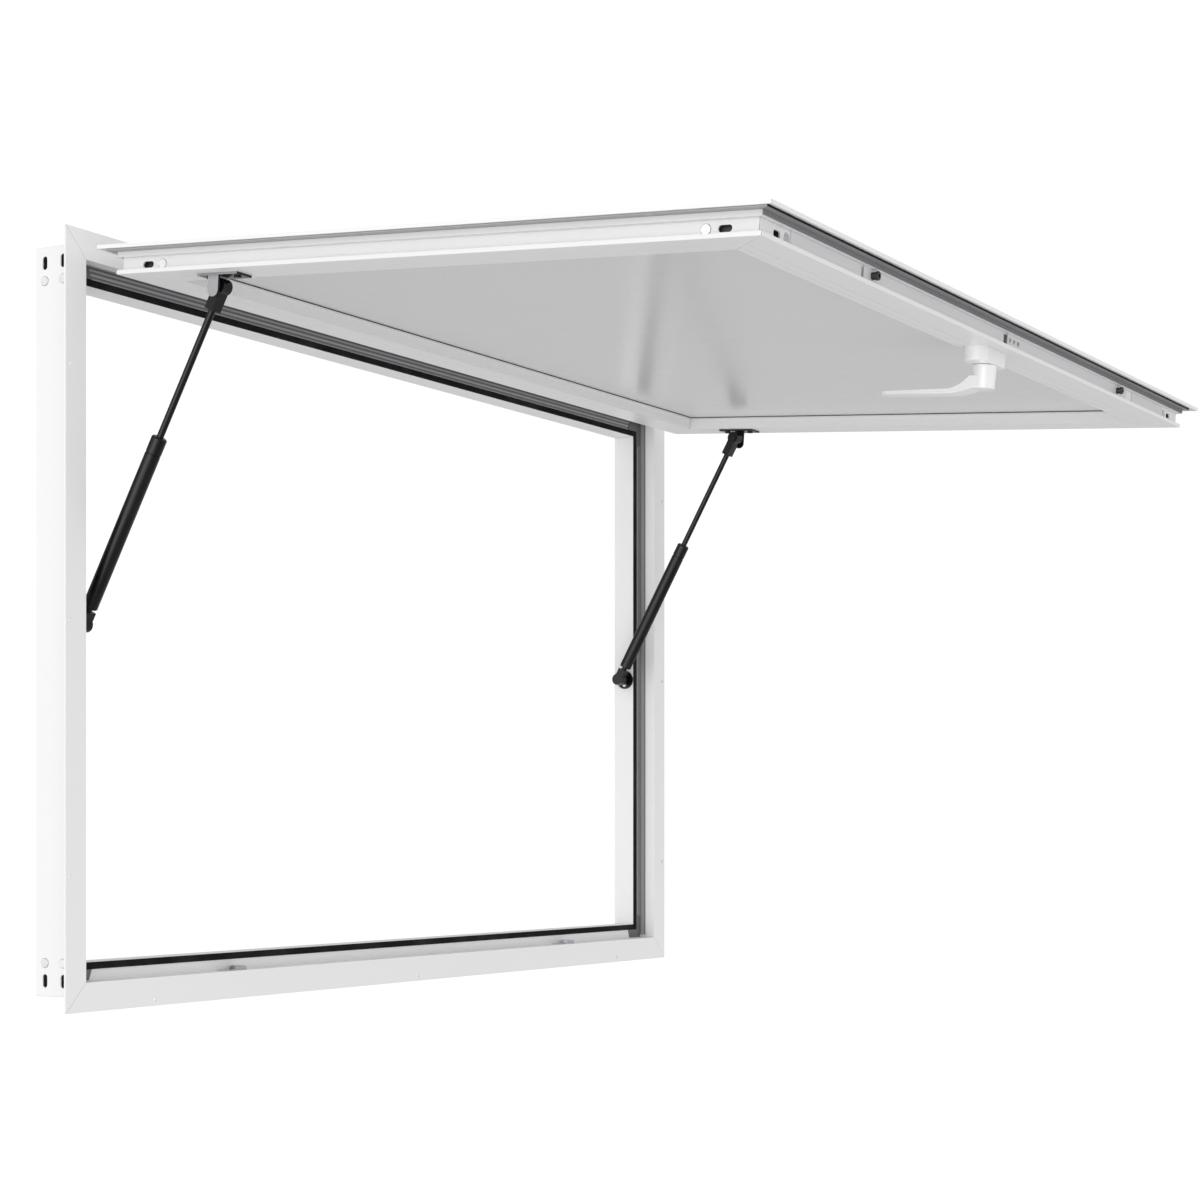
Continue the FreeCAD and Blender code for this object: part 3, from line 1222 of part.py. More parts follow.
def eye_outline(sketch, radius, neck, reach):
    """A round eye on a straight shank, the shank pointing down."""
    drop = math.sqrt(radius.value ** 2 - neck.value ** 2)
    start = math.atan2(-drop, neck.value)
    ring = Part.Circle(V(0, 0, 0), V(0, 0, 1), radius.value)
    sketch.addGeometry(Part.ArcOfCircle(ring, start, math.pi - start), False)
    path = [V(-neck.value, -drop, 0), V(-neck.value, -reach.value, 0),
            V(neck.value, -reach.value, 0), V(neck.value, -drop, 0)]
    for first, second in zip(path, path[1:]):
        sketch.addGeometry(Part.LineSegment(first, second), False)
    for first, second in ((0, 1), (1, 2), (2, 3), (3, 0)):
        sketch.addConstraint(Sketcher.Constraint("Coincident", first, 2, second, 1))
    pin_point(sketch, 0, 3, fixed(0), fixed(0))
    pin_point(sketch, 2, 1, -neck, -reach)
    pin_point(sketch, 3, 1, neck, -reach)
    sketch.addConstraint(Sketcher.Constraint("Vertical", 1))
    sketch.addConstraint(Sketcher.Constraint("Vertical", 3))
    number = sketch.addConstraint(Sketcher.Constraint("Radius", 0, radius.value))
    sketch.setExpression("Constraints[%d]" % number, radius.text)


def strut_socket(name, place, length):
    """The upper end fitting: an eye on the sash's stud, threaded on to the rod."""
    turn = turned(Z_AXIS, 90, (0, 0, length))
    body = new_body(name, place.multiply(turn))
    eye = new_sketch(body, "XZ_Plane")
    eye_outline(eye, size("socket_radius"), size("socket_neck"), size("socket_length"))
    pad(body, eye, size("socket_thick"), both_ways=True)
    bore = new_sketch(body, "XZ_Plane")
    circle(bore, 0, 0, size("stud_radius") + size("stud_play"))
    pocket(body, bore, size("socket_thick") + 2, both_ways=True)
    thread = new_sketch(body, "XY_Plane", -size("socket_length"))
    circle(thread, 0, 0, size("rod_radius"))
    pocket(body, thread, size("thread_length"), reverse=True)


def strut_foot(name, place, side):
    """The lower end fitting: an eye under the tube with its stud pointing at the jamb."""
    body = new_body(name, place.multiply(turned(Z_AXIS, 90 * side)).multiply(turned(Y_AXIS, 180)))
    eye = new_sketch(body, "XZ_Plane")
    reach = size("foot_length")
    eye_outline(eye, size("socket_radius"), size("socket_neck"), reach)
    pad(body, eye, size("socket_thick"), both_ways=True)
    thread = new_sketch(body, "XY_Plane", -reach)
    circle(thread, 0, 0, size("rod_radius"))
    pocket(body, thread, reach - size("tube_stud_start"), reverse=True)
    stud = new_sketch(body, "XZ_Plane")
    circle(stud, 0, 0, size("stud_radius"))
    pad(body, stud, size("foot_stud_end") - size("strut_x"))
    return body


def strut_foot_bracket(name, side):
    """A round plate on the jamb with a short collar where the strut's stud meets it."""
    jamb = size("frame_width") / 2 - size("reveal_inset")
    base = (side * jamb.value, SIZES["strut_foot_y"], SIZES["strut_foot_z"])
    body = new_body(name, facing((-side, 0, 0), base))
    disc = new_sketch(body, "XY_Plane")
    circle(disc, 0, 0, size("disc_radius"))
    pad(body, disc, size("disc_thick"))
    collar = new_sketch(body, "XY_Plane")
    circle(collar, 0, 0, size("collar_radius"))
    pad(body, collar, jamb - size("collar_end"))
    holes = new_sketch(body, "XY_Plane")
    for x, y in disc_screw_places():
        circle(holes, x, y, size("disc_screw_radius"))
    pocket(body, holes, size("disc_thick") + 2, reverse=True)


def disc_screw_places():
    """Screws above and below the collar, whichever way the bracket's own axes are turned."""
    return ((SIZES["disc_screw"], 0), (-SIZES["disc_screw"], 0))


def strut_sash_bracket(name, side):
    """A plate under the side rail with a rounded tab that carries the stud."""
    place = SASH.multiply(FreeCAD.Placement(
        on_sash(side * SIZES["strut_x"], SIZES["stud_along"], SIZES["sash_thick"]), FreeCAD.Rotation()))
    body = new_body(name, place)
    near, length = size("stud_along") - size("plate_near"), size("plate_length")
    middle, half, thick = side * size("plate_shift"), size("plate_width") / 2, size("plate_thick")
    plate = new_sketch(body, "XY_Plane")
    box_outline(plate, middle - half, near - length, middle + half, near)
    for number in range(2):
        along = size("stud_along") - size("plate_screw_first") - number * size("plate_screw_pitch")
        circle(plate, middle, along, size("plate_screw"))
    pad(body, plate, thick, reverse=True)
    outer_face = middle + side * half
    tab = new_sketch(body, "YZ_Plane", outer_face)
    tab_outline(tab, size("tab_width") / 2, size("tab_drop"))
    pad(body, tab, size("tab_thick"), reverse=side > 0)
    drop, half_eye = size("stud_below"), size("socket_thick") / 2
    stud = new_sketch(body, "YZ_Plane", outer_face - side * size("tab_thick"))
    circle(stud, 0, -drop, size("stud_radius"))
    reach = size("plate_shift") + half - size("tab_thick") + half_eye + 0.6
    pad(body, stud, reach, reverse=side > 0)
    head = new_sketch(body, "YZ_Plane", -side * (half_eye + 0.5))
    circle(head, 0, -drop, size("stud_head"))
    pad(body, head, size("stud_head_thick"), reverse=side > 0)


def tab_outline(sketch, half, drop):
    """A tab hanging from the plate to a round end."""
    ring = Part.Circle(V(0, -drop.value, 0), V(0, 0, 1), half.value)
    sketch.addGeometry(Part.ArcOfCircle(ring, math.pi, 2 * math.pi), False)
    path = [V(half.value, -drop.value, 0), V(half.value, 0, 0), V(-half.value, 0, 0),
            V(-half.value, -drop.value, 0)]
    for first, second in zip(path, path[1:]):
        sketch.addGeometry(Part.LineSegment(first, second), False)
    for first, second in ((1, 2), (2, 3)):
        sketch.addConstraint(Sketcher.Constraint("Coincident", first, 2, second, 1))
    for first, second in ((0, 1), (3, 0)):
        sketch.addConstraint(Sketcher.Constraint("Tangent", first, 2, second, 1))
    pin_point(sketch, 0, 3, fixed(0), -drop)
    pin_point(sketch, 2, 1, half, fixed(0))
    pin_point(sketch, 3, 1, -half, fixed(0))


def strut_fasteners():
    """Screws of the brackets: two in each round plate, two in each plate under the sash."""
    jamb = HALF_WIDTH - SIZES["reveal_inset"]
    foot_screw = headed(3, 0.8, 1.9, SIZES["disc_thick"])
    foot_shapes, sash_shapes = [], []
    sash_screw = headed(4, 2, 2, SIZES["plate_thick"])
    below = SIZES["sash_thick"] + SIZES["plate_thick"]
    plate_middle = SIZES["strut_x"] + SIZES["plate_shift"]
    for side in (-1, 1):
        face = facing((-side, 0, 0), (side * jamb, SIZES["strut_foot_y"], SIZES["strut_foot_z"]))
        for x, y in disc_screw_places():
            spot = turned(Z_AXIS, 0, (x, y, SIZES["disc_thick"]))
            foot_shapes.append(placed(foot_screw, face.multiply(spot)))
        for number in range(2):
            along = SIZES["plate_screw_first"] + number * SIZES["plate_screw_pitch"]
            place = facing((0, 0, -1), on_sash(side * plate_middle, along, below))
            sash_shapes.append(placed(sash_screw, place))
    group("strut_foot_screws", foot_shapes)
    group("strut_sash_screws", sash_shapes, SASH)


for strut_side, hand in ((-1, "left"), (1, "right")):
    frame_of_strut, strut_length = strut_place(strut_side)
    strut_tube("strut_tube_" + hand, frame_of_strut)
    strut_gland("strut_gland_" + hand, frame_of_strut)
    strut_foot("strut_foot_end_" + hand, frame_of_strut, strut_side)
    strut_rod("strut_rod_" + hand, frame_of_strut, strut_length)
    strut_piston("strut_piston_" + hand, frame_of_strut)
    strut_socket("strut_socket_" + hand, frame_of_strut, strut_length)
    strut_foot_bracket("strut_foot_bracket_" + hand, strut_side)
    strut_sash_bracket("strut_sash_bracket_" + hand, strut_side)
strut_fasteners()


# ---------------------------------------------------------------- checks and files

def sub_parts():
    """Every object that is a piece of the window."""
    found = []
    for item in doc.Objects:
        if item.TypeId in ("PartDesign::Body", "Part::Box", "Part::Cylinder", "Part::Feature"):
            found.append(item)
    return found


def check_and_export():
    """Stop on any failed feature or bad shape, then write one file for each piece."""
    doc.recompute()
    for item in doc.Objects:
        if "Invalid" in item.State or "Error" in item.State:
            raise ValueError("%s is %s" % (item.Label, item.State))
    for item in sub_parts():
        if item.Shape.isNull() or not item.Shape.isValid() or not item.Shape.Solids:
            raise ValueError("the shape of %s is not a valid solid" % item.Label)
    os.makedirs("parts", exist_ok=True)
    for item in sub_parts():
        item.Shape.exportStep(os.path.join("parts", item.Label + ".step"))
        box = item.Shape.BoundBox
        print("%-28s %3d solids %11.1f mm3  x %7.1f %7.1f  y %7.1f %7.1f  z %7.1f %7.1f" % (
            item.Label, len(item.Shape.Solids), item.Shape.Volume, box.XMin, box.XMax, box.YMin, box.YMax,
            box.ZMin, box.ZMax))


check_and_export()
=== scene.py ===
import json
import math

import bpy
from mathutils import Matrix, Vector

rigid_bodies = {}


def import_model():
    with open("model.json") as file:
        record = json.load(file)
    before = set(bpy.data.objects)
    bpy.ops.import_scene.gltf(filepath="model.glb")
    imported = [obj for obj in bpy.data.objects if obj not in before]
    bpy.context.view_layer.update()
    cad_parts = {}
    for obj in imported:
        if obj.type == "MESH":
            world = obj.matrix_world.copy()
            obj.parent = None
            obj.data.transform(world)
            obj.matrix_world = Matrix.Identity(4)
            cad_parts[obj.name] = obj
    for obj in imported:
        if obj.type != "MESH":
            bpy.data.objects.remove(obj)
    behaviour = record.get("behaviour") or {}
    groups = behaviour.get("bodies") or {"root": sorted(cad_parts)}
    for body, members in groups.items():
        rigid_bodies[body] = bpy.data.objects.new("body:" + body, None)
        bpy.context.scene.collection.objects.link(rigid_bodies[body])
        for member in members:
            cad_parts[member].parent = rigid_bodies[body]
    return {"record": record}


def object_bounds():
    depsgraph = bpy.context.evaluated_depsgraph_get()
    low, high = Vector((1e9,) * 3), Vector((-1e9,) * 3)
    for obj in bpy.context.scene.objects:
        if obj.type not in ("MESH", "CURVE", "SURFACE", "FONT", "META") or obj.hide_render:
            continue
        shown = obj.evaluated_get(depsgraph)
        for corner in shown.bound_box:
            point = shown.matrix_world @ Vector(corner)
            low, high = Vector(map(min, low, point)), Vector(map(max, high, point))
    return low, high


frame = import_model()
CAD_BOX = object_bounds()

# Places in metres, in the CAD model's axes. The tape is ribbed sealing tape in the frame's rebate. Its depths
# are measured from the back of the flange, and its widths outward from the edge of the opening.
OPENING_HALF_WIDTH = 0.6295
OPENING_TOP = 0.3825
TAPE_DEPTHS = (0.0142, 0.0248)
TAPE_WIDTHS = (0.0006, 0.0226)
TAPE_FOOT = -0.3995
TAPE_FOOT_BLUR = 0.0005
TAPE_RIB_PITCH = 0.0052
SASH_TILT = math.radians(4.16)
HINGE_Y = -0.021
HINGE_Z = 0.4269
HINGE_TO_SKIN = 0.0133

# The painted shadow under the lip on a seal strip ends this sharply, and both that painted shadow and the
# black gasket have this colour.
SEAL_SHADOW_EDGE_BLUR = 0.00004
RUBBER_BLACK_AND_PAINTED_SHADOW = (0.006, 0.006, 0.007)

# What reflections see: a bright patch on the left, a little light on the right and a dim level elsewhere.
PATCH_BRIGHTNESS = 3.4
PATCH_NARROWNESS = 6.0
RIGHT_BRIGHTNESS = 0.2
REFLECTED_LEVEL = 0.4

# What the camera sees behind the object.
BACKDROP_BRIGHTNESS = 1.05

FLOOR_DROP = 0.55
FLOOR_HALF_SIZE = 30.0

CAMERA_PLACE = (-2.692, -1.8642, -0.2281)
CAMERA_TURN = math.radians(-58.4265)
LENS_LENGTH = 73.06
LENS_SHIFT = (0.0417, 0.1882)

# ---------------------------------------------------------------- node helpers


def new_material(name):
    """A new material, its node tree, its Principled shader and its object coordinates."""
    material = bpy.data.materials.new(name)
    material.use_nodes = True
    tree = material.node_tree
    tree.nodes.clear()
    output = tree.nodes.new("ShaderNodeOutputMaterial")
    shader = tree.nodes.new("ShaderNodeBsdfPrincipled")
    tree.links.new(shader.outputs["BSDF"], output.inputs["Surface"])
    place = tree.nodes.new("ShaderNodeTexCoord").outputs["Object"]
    return material, tree, shader, place


def stretched(tree, place, scale):
    """Object coordinates scaled along each axis, for grain that runs one way."""
    mapping = tree.nodes.new("ShaderNodeMapping")
    mapping.inputs["Scale"].default_value = scale
    tree.links.new(place, mapping.inputs["Vector"])
    return mapping.outputs["Vector"]


def noise(tree, place, scale, detail=3.0, rough=0.55):
    """Noise at a scale in features per metre."""
    node = tree.nodes.new("ShaderNodeTexNoise")
    node.inputs["Scale"].default_value = scale
    node.inputs["Detail"].default_value = detail
    node.inputs["Roughness"].default_value = rough
    tree.links.new(place, node.inputs["Vector"])
    return node.outputs["Fac"]


def remap(tree, value, low, high, new_low, new_high):
    """A value's range moved to another, clamped."""
    node = tree.nodes.new("ShaderNodeMapRange")
    node.inputs["From Min"].default_value = low
    node.inputs["From Max"].default_value = high
    node.inputs["To Min"].default_value = new_low
    node.inputs["To Max"].default_value = new_high
    tree.links.new(value, node.inputs["Value"])
    return node.outputs["Result"]


def mixed(tree, factor, first, second):
    """Two colours mixed by a factor; a colour may be a tuple or another node's output."""
    node = tree.nodes.new("ShaderNodeMix")
    node.data_type = "RGBA"
    tree.links.new(factor, node.inputs["Factor"])
    for socket, colour in ((node.inputs[6], first), (node.inputs[7], second)):
        if isinstance(colour, tuple):
            socket.default_value = colour + (1.0,)
        else:
            tree.links.new(colour, socket)
    return node.outputs[2]


def opened(material):
    """A finished material's node tree, its shader and object coordinates, for adding to it."""
    tree = material.node_tree
    place = tree.nodes.new("ShaderNodeTexCoord").outputs["Object"]
    return tree, tree.nodes["Principled BSDF"], place


def paint_over(tree, shader, where, colour):
    """A colour laid over the shader's base colour where a factor is one."""
    beneath = shader.inputs["Base Color"].links[0].from_socket
    tree.links.new(mixed(tree, where, beneath, colour), shader.inputs["Base Color"])


def bump(tree, shader, height, distance, strength=1.0):
    """Bump from a height, where a height of one stands for a distance in metres."""
    node = tree.nodes.new("ShaderNodeBump")
    node.inputs["Strength"].default_value = strength
    node.inputs["Distance"].default_value = distance
    tree.links.new(height, node.inputs["Height"])
    tree.links.new(node.outputs["Normal"], shader.inputs["Normal"])


def maths(tree, operation, first, second=None):
    """One step of arithmetic on values; a value may be a number or another node's output."""
    node = tree.nodes.new("ShaderNodeMath")
    node.operation = operation
    for socket, value in zip(node.inputs, (first, second)):
        if isinstance(value, (int, float)):
            socket.default_value = value
        elif value is not None:
            tree.links.new(value, socket)
    return node.outputs["Value"]


def axes(tree, vector):
    """The three parts of a vector."""
    node = tree.nodes.new("ShaderNodeSeparateXYZ")
    tree.links.new(vector, node.inputs["Vector"])
    return node.outputs["X"], node.outputs["Y"], node.outputs["Z"]


def within(tree, value, low, high, soft=0.0002):
    """One where a value lies between two limits, zero elsewhere, with a soft edge."""
    rise = remap(tree, value, low - soft, low + soft, 0.0, 1.0)
    fall = remap(tree, value, high - soft, high + soft, 1.0, 0.0)
    return maths(tree, "MULTIPLY", rise, fall)


def wave(tree, value, pitch):
    """A sine along a value in metres, with one turn in each pitch."""
    return maths(tree, "SINE", maths(tree, "MULTIPLY", value, 2 * math.pi / pitch))


def shade(colour, factor):
    """A colour made lighter or darker by a factor."""
    return tuple(min(1.0, channel * factor) for channel in colour)


# ---------------------------------------------------------------- materials


def powder_coat(name, colour, rough=0.34, peel=0.000008):
    """Smooth powder coat: fine orange peel, slow variation and a faint haze."""
    material, tree, shader, place = new_material(name)
    slow = noise(tree, place, 4.0, 2.0)
    haze = noise(tree, place, 24.0, 4.0, 0.6)
    base = mixed(tree, slow, shade(colour, 0.985), shade(colour, 1.012))
    coloured = mixed(tree, remap(tree, haze, 0.55, 0.8, 0.0, 0.06), base, shade(colour, 0.93))
    tree.links.new(coloured, shader.inputs["Base Color"])
    tree.links.new(remap(tree, haze, 0.3, 0.8, rough - 0.02, rough + 0.04), shader.inputs["Roughness"])
    bump(tree, shader, noise(tree, place, 420.0, 1.0), peel, 0.6)
    return material


def glossy_white(name, colour):
    """Smooth white paint under a clear gloss coat."""
    material = powder_coat(name, colour, rough=0.25, peel=0.000003)
    shader = material.node_tree.nodes["Principled BSDF"]
    shader.inputs["Coat Weight"].default_value = 0.9
    shader.inputs["Coat Roughness"].default_value = 0.06
    shader.inputs["Coat IOR"].default_value = 1.6
    return material


def frame_coat(name, colour):
    """The frame's powder coat, with ribbed grey sealing tape in the rebate of the head and the jambs."""
    material = powder_coat(name, colour, rough=0.34, peel=0.000004)
    tree, shader, place = opened(material)
    x, y, z = axes(tree, place)
    past_side = maths(tree, "SUBTRACT", maths(tree, "ABSOLUTE", x), OPENING_HALF_WIDTH)
    across = maths(tree, "MAXIMUM", past_side, maths(tree, "SUBTRACT", z, OPENING_TOP))
    in_rebate = maths(tree, "MULTIPLY", within(tree, y, *TAPE_DEPTHS), within(tree, across, *TAPE_WIDTHS))
    above_sill = remap(tree, z, TAPE_FOOT, TAPE_FOOT + TAPE_FOOT_BLUR, 0.0, 1.0)
    taped = maths(tree, "MULTIPLY", in_rebate, above_sill)
    ribs = wave(tree, maths(tree, "ADD", across, y), TAPE_RIB_PITCH)
    grey = mixed(tree, remap(tree, ribs, -0.6, 0.9, 0.0, 1.0), (0.14, 0.14, 0.145), (0.40, 0.40, 0.41))
    paint_over(tree, shader, taped, grey)
    return material


def black_paint(name, colour=(0.004, 0.004, 0.005), rough=0.2):
    """Satin black lacquer over drawn steel, with a few rubbed, duller patches."""
    material, tree, shader, place = new_material(name)
    fine = noise(tree, place, 600.0, 3.0)
    patches = noise(tree, place, 35.0, 4.0)
    base = mixed(tree, remap(tree, patches, 0.5, 0.8, 0.0, 1.0), colour, shade(colour, 2.5))
    tree.links.new(base, shader.inputs["Base Color"])
    tree.links.new(remap(tree, patches, 0.3, 0.75, rough - 0.05, rough + 0.12), shader.inputs["Roughness"])
    shader.inputs["Specular IOR Level"].default_value = 0.3
    bump(tree, shader, fine, 0.00001)
    return material


def rubber(name, colour, rough=0.72):
    """Extruded rubber: matt and fine-grained, with a chalky bloom in places."""
    material, tree, shader, place = new_material(name)
    grain = noise(tree, place, 1400.0, 3.0)
    bloom = noise(tree, place, 18.0, 5.0)
    base = mixed(tree, remap(tree, bloom, 0.45, 0.8, 0.0, 1.0), colour, tuple(c + 0.02 for c in colour))
    tree.links.new(base, shader.inputs["Base Color"])
    tree.links.new(remap(tree, grain, 0.3, 0.7, rough - 0.08, rough + 0.1), shader.inputs["Roughness"])
    shader.inputs["Specular IOR Level"].default_value = 0.15
    bump(tree, shader, grain, 0.00003)
    return material


def strut_bracket(name):
    """Black plate whose upright tab is bright metal on its face towards the jamb."""
    material = black_paint(name)
    tree, shader, place = opened(material)
    normal = tree.nodes.new("ShaderNodeNewGeometry").outputs["Normal"]
    outward = maths(tree, "MULTIPLY", axes(tree, normal)[0], axes(tree, place)[0])
    bright = remap(tree, outward, 0.35, 0.5, 0.0, 1.0)
    grain = noise(tree, stretched(tree, place, (900.0, 900.0, 60.0)), 1.0, 3.0)
    metal = mixed(tree, grain, (0.34, 0.34, 0.355), (0.44, 0.44, 0.455))
    paint_over(tree, shader, bright, metal)
    tree.links.new(maths(tree, "MULTIPLY", bright, 0.9), shader.inputs["Metallic"])
    return material


def sash_depth(tree, place):
    """The depth below the sash's outer skin, with the sash open as the CAD model has it."""
    y, z = axes(tree, place)[1:]
    along = maths(tree, "MULTIPLY", maths(tree, "ADD", y, -HINGE_Y), math.sin(SASH_TILT))
    across = maths(tree, "MULTIPLY", maths(tree, "SUBTRACT", z, HINGE_Z), -math.cos(SASH_TILT))
    return maths(tree, "SUBTRACT", maths(tree, "ADD", along, across), HINGE_TO_SKIN)


def seal_rubber(name, light, dark, painted_shadow_depth, pitch):
    """A seal strip with a painted shadow: black down to the shadow depth, where the lip above would shade it,
    and grey and finely ribbed below it.
    """
    material = rubber(name, light, rough=0.5)
    tree, shader, place = opened(material)
    depth = sash_depth(tree, place)
    ribs = wave(tree, depth, pitch)
    # Painted shadow: black where the lip would shade the strip.
    black = remap(tree, depth, painted_shadow_depth - SEAL_SHADOW_EDGE_BLUR, painted_shadow_depth + SEAL_SHADOW_EDGE_BLUR, 1.0, 0.0)
    paint_over(tree, shader, remap(tree, ribs, 0.1, 0.8, 0.0, 1.0), dark)
    paint_over(tree, shader, black, RUBBER_BLACK_AND_PAINTED_SHADOW)
    bump(tree, shader, ribs, 0.0002, 0.5)
    return material


def bare_metal(name, colour, rough=0.3, grain=(30.0, 900.0, 900.0), grain_depth=0.000015):
    """Metal with drawn grain that runs along X unless the grain scales say otherwise."""
    material, tree, shader, place = new_material(name)
    lines = noise(tree, stretched(tree, place, grain), 1.0, 4.0, 0.6)
    stains = noise(tree, place, 60.0, 4.0)
    base = mixed(tree, remap(tree, stains, 0.5, 0.8, 0.0, 1.0), colour, shade(colour, 0.78))
    tree.links.new(base, shader.inputs["Base Color"])
    shader.inputs["Metallic"].default_value = 1.0
    tree.links.new(remap(tree, lines, 0.3, 0.7, rough - 0.08, rough + 0.12), shader.inputs["Roughness"])
    bump(tree, shader, lines, grain_depth)
    return material


def moulded(name, colour, rough=0.5):
    """Moulded plastic with a fine spark-eroded texture."""
    material, tree, shader, place = new_material(name)
    grain = noise(tree, place, 1800.0, 2.0)
    slow = noise(tree, place, 25.0, 3.0)
    base = mixed(tree, slow, shade(colour, 0.92), shade(colour, 1.08))
    tree.links.new(base, shader.inputs["Base Color"])
    tree.links.new(remap(tree, grain, 0.3, 0.7, rough - 0.06, rough + 0.08), shader.inputs["Roughness"])
    bump(tree, shader, grain, 0.00002)
    return material


def foam(name):
    """Closed-cell foam board."""
    material, tree, shader, place = new_material(name)
    cells = tree.nodes.new("ShaderNodeTexVoronoi")
    cells.inputs["Scale"].default_value = 1200.0
    tree.links.new(place, cells.inputs["Vector"])
    base = mixed(tree, cells.outputs["Distance"], (0.80, 0.76, 0.62), (0.90, 0.87, 0.76))
    tree.links.new(base, shader.inputs["Base Color"])
    shader.inputs["Roughness"].default_value = 0.9
    bump(tree, shader, cells.outputs["Distance"], 0.0002)
    return material


MATERIALS = {
    "frame_paint": frame_coat("frame_white", (0.80, 0.80, 0.805)),
    "sash_paint": powder_coat("sash_white", (0.80, 0.80, 0.805), rough=0.3, peel=0.000006),
    "panel_paint": powder_coat("panel_grey_white", (0.65, 0.65, 0.66), rough=0.2, peel=0.000004),
    "foam": foam("foam_board"),
    "rubber_black": rubber("gasket_rubber", RUBBER_BLACK_AND_PAINTED_SHADOW),
    # The lock seal and the side seals are one rubber in two colours: the lock seal's darker greys are painted
    # shade and the side seals' lighter greys are painted light.
    "rubber_grey": seal_rubber("lock_seal_painted_shade", (0.30, 0.30, 0.31), (0.085, 0.085, 0.09), 0.0043, 0.0017),
    "rubber_pale": seal_rubber("side_seal_painted_light", (0.60, 0.59, 0.60), (0.34, 0.34, 0.35), 0.0026, 0.0010),
    "plastic_grey": moulded("corner_pad_plastic", (0.14, 0.145, 0.15)),
    "mill_aluminium": bare_metal("mill_aluminium", (0.76, 0.76, 0.77), 0.4),
    # The near-black of the cast corner keys is painted shade: they sit inside the frame's hollows.
    "cast_dark": moulded("dark_casting_painted_shade", (0.03, 0.03, 0.032)),
    "handle_white": glossy_white("handle_white", (0.87, 0.87, 0.875)),
    "black_steel": black_paint("strut_black"),
    "zinc_steel": bare_metal("zinc_plate", (0.62, 0.63, 0.65), 0.28, (500.0, 500.0, 500.0)),
    "dark_steel": bare_metal("dark_steel", (0.10, 0.10, 0.105), 0.36, (500.0, 500.0, 500.0)),
    "bar_finish": powder_coat("bar_white", (0.66, 0.66, 0.67), rough=0.3),
}
BRACKET = strut_bracket("bracket_black")

for part in frame["record"]["subparts"]:
    piece = bpy.data.objects[part["node"]]
    piece.data.materials.clear()
    if part["node"].startswith("strut_sash_bracket"):
        piece.data.materials.append(BRACKET)
    else:
        piece.data.materials.append(MATERIALS[part["material_slot"]])

# ---------------------------------------------------------------- floor, light and camera


def floor():
    """A wide pale floor, well below the window, which only the camera sees. It doesn't light the object."""
    low = CAD_BOX[0][2] - FLOOR_DROP
    turns = ((-1, -1), (1, -1), (1, 1), (-1, 1))
    corners = [(x * FLOOR_HALF_SIZE, y * FLOOR_HALF_SIZE, low) for x, y in turns]
    mesh = bpy.data.meshes.new("floor")
    mesh.from_pydata(corners, [], [(0, 1, 2, 3)])
    plane = bpy.data.objects.new("floor", mesh)
    bpy.context.scene.collection.objects.link(plane)
    material, tree, shader, place = new_material("floor_pale")
    tree.links.new(mixed(tree, noise(tree, place, 2.0), (0.93, 0.93, 0.93), (0.95, 0.95, 0.95)),
                   shader.inputs["Base Color"])
    shader.inputs["Roughness"].default_value = 0.9
    shader.inputs["Emission Color"].default_value = (1.0, 1.0, 1.0, 1.0)
    shader.inputs["Emission Strength"].default_value = 0.25
    mesh.materials.append(material)
    plane.visible_diffuse = False
    plane.visible_glossy = False
    plane.visible_shadow = False


def area_light(name, place, target, size, power):
    """A rectangular lamp at a place, turned towards a target and hidden from the camera."""
    light = bpy.data.lights.new(name, "AREA")
    light.shape = "RECTANGLE"
    light.size, light.size_y = size
    light.energy = power
    lamp = bpy.data.objects.new(name, light)
    bpy.context.scene.collection.objects.link(lamp)
    lamp.location = place
    reach = [b - a for a, b in zip(place, target)]
    flat = math.hypot(reach[0], reach[1])
    lamp.rotation_euler = (math.atan2(flat, -reach[2]), 0.0, math.atan2(-reach[0], reach[1]))
    lamp.visible_camera = False


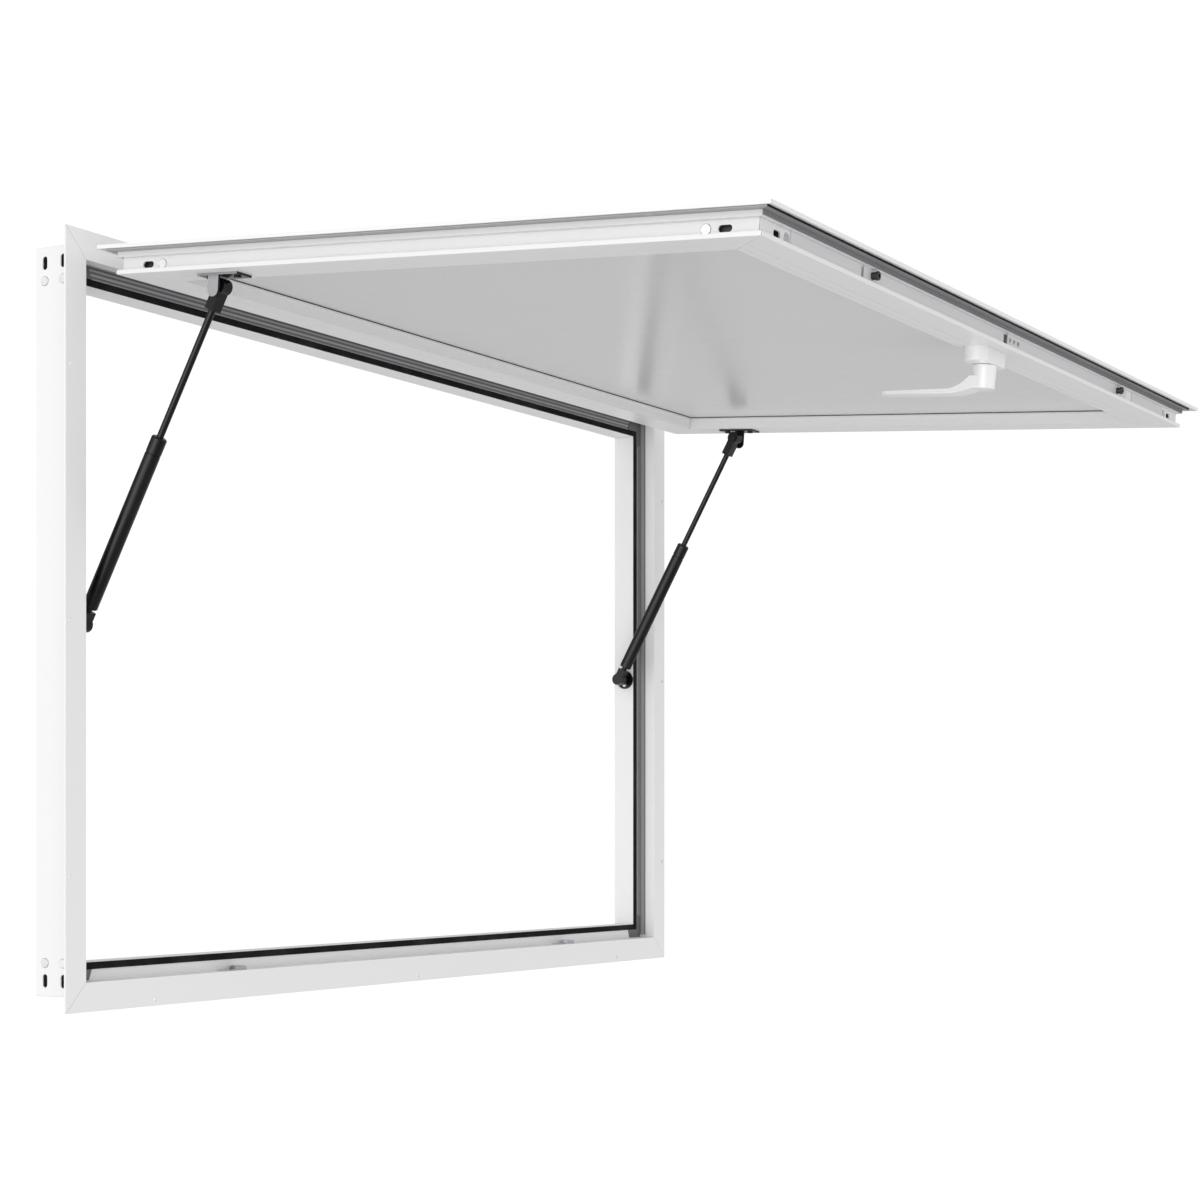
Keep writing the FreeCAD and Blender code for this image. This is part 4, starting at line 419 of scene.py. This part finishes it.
def surroundings(base, left, front, above):
    """A white backdrop, and soft light from all round: stronger from the left, from the front and from above.

    Reflections see a light of their own, not the one that falls on the object. PATCH_BRIGHTNESS and the
    values after it describe it.
    """
    world = bpy.data.worlds.new("studio")
    bpy.context.scene.world = world
    world.use_nodes = True
    tree = world.node_tree
    x, y, z = axes(tree, tree.nodes.new("ShaderNodeTexCoord").outputs["Generated"])
    strength = base
    for part, share in ((maths(tree, "MULTIPLY", x, -1.0), left), (maths(tree, "MULTIPLY", y, -1.0), front),
                        (z, above)):
        lit = maths(tree, "MULTIPLY", maths(tree, "MAXIMUM", part, 0.0), share)
        strength = maths(tree, "ADD", lit, strength)
    leftward = maths(tree, "MAXIMUM", maths(tree, "MULTIPLY", x, -1.0), 0.0)
    patch = maths(tree, "MULTIPLY", maths(tree, "POWER", leftward, PATCH_NARROWNESS), PATCH_BRIGHTNESS)
    right = maths(tree, "MULTIPLY", maths(tree, "MAXIMUM", x, 0.0), RIGHT_BRIGHTNESS)
    reflected = maths(tree, "ADD", maths(tree, "ADD", patch, right), REFLECTED_LEVEL)
    rays = tree.nodes.new("ShaderNodeLightPath").outputs
    blend = tree.nodes.new("ShaderNodeMix")
    tree.links.new(rays["Is Glossy Ray"], blend.inputs["Factor"])
    tree.links.new(strength, blend.inputs["A"])
    tree.links.new(reflected, blend.inputs["B"])
    background = tree.nodes["Background"]
    background.inputs["Color"].default_value = (1.0, 1.0, 1.0, 1.0)
    seen = maths(tree, "MULTIPLY", rays["Is Camera Ray"], BACKDROP_BRIGHTNESS)
    tree.links.new(maths(tree, "MAXIMUM", blend.outputs["Result"], seen), background.inputs["Strength"])


def camera():
    """Low and to the left, level, with a long lens; the shift frames the window."""
    lens = bpy.data.cameras.new("camera")
    lens.sensor_width = 36.0
    lens.lens = LENS_LENGTH
    lens.shift_x, lens.shift_y = LENS_SHIFT
    lens.clip_end = 200.0
    eye = bpy.data.objects.new("camera", lens)
    bpy.context.scene.collection.objects.link(eye)
    eye.location = CAMERA_PLACE
    eye.rotation_euler = (math.radians(90.0), 0.0, CAMERA_TURN)
    bpy.context.scene.camera = eye


floor()
surroundings(0.55, 0.68, 0.4, 0.14)
area_light("left_soft", (-5.0, -1.0, 1.5), (0.0, -0.4, 0.0), (4.0, 4.0), 20.0)
camera()
bpy.context.scene.view_settings.view_transform = "Standard"
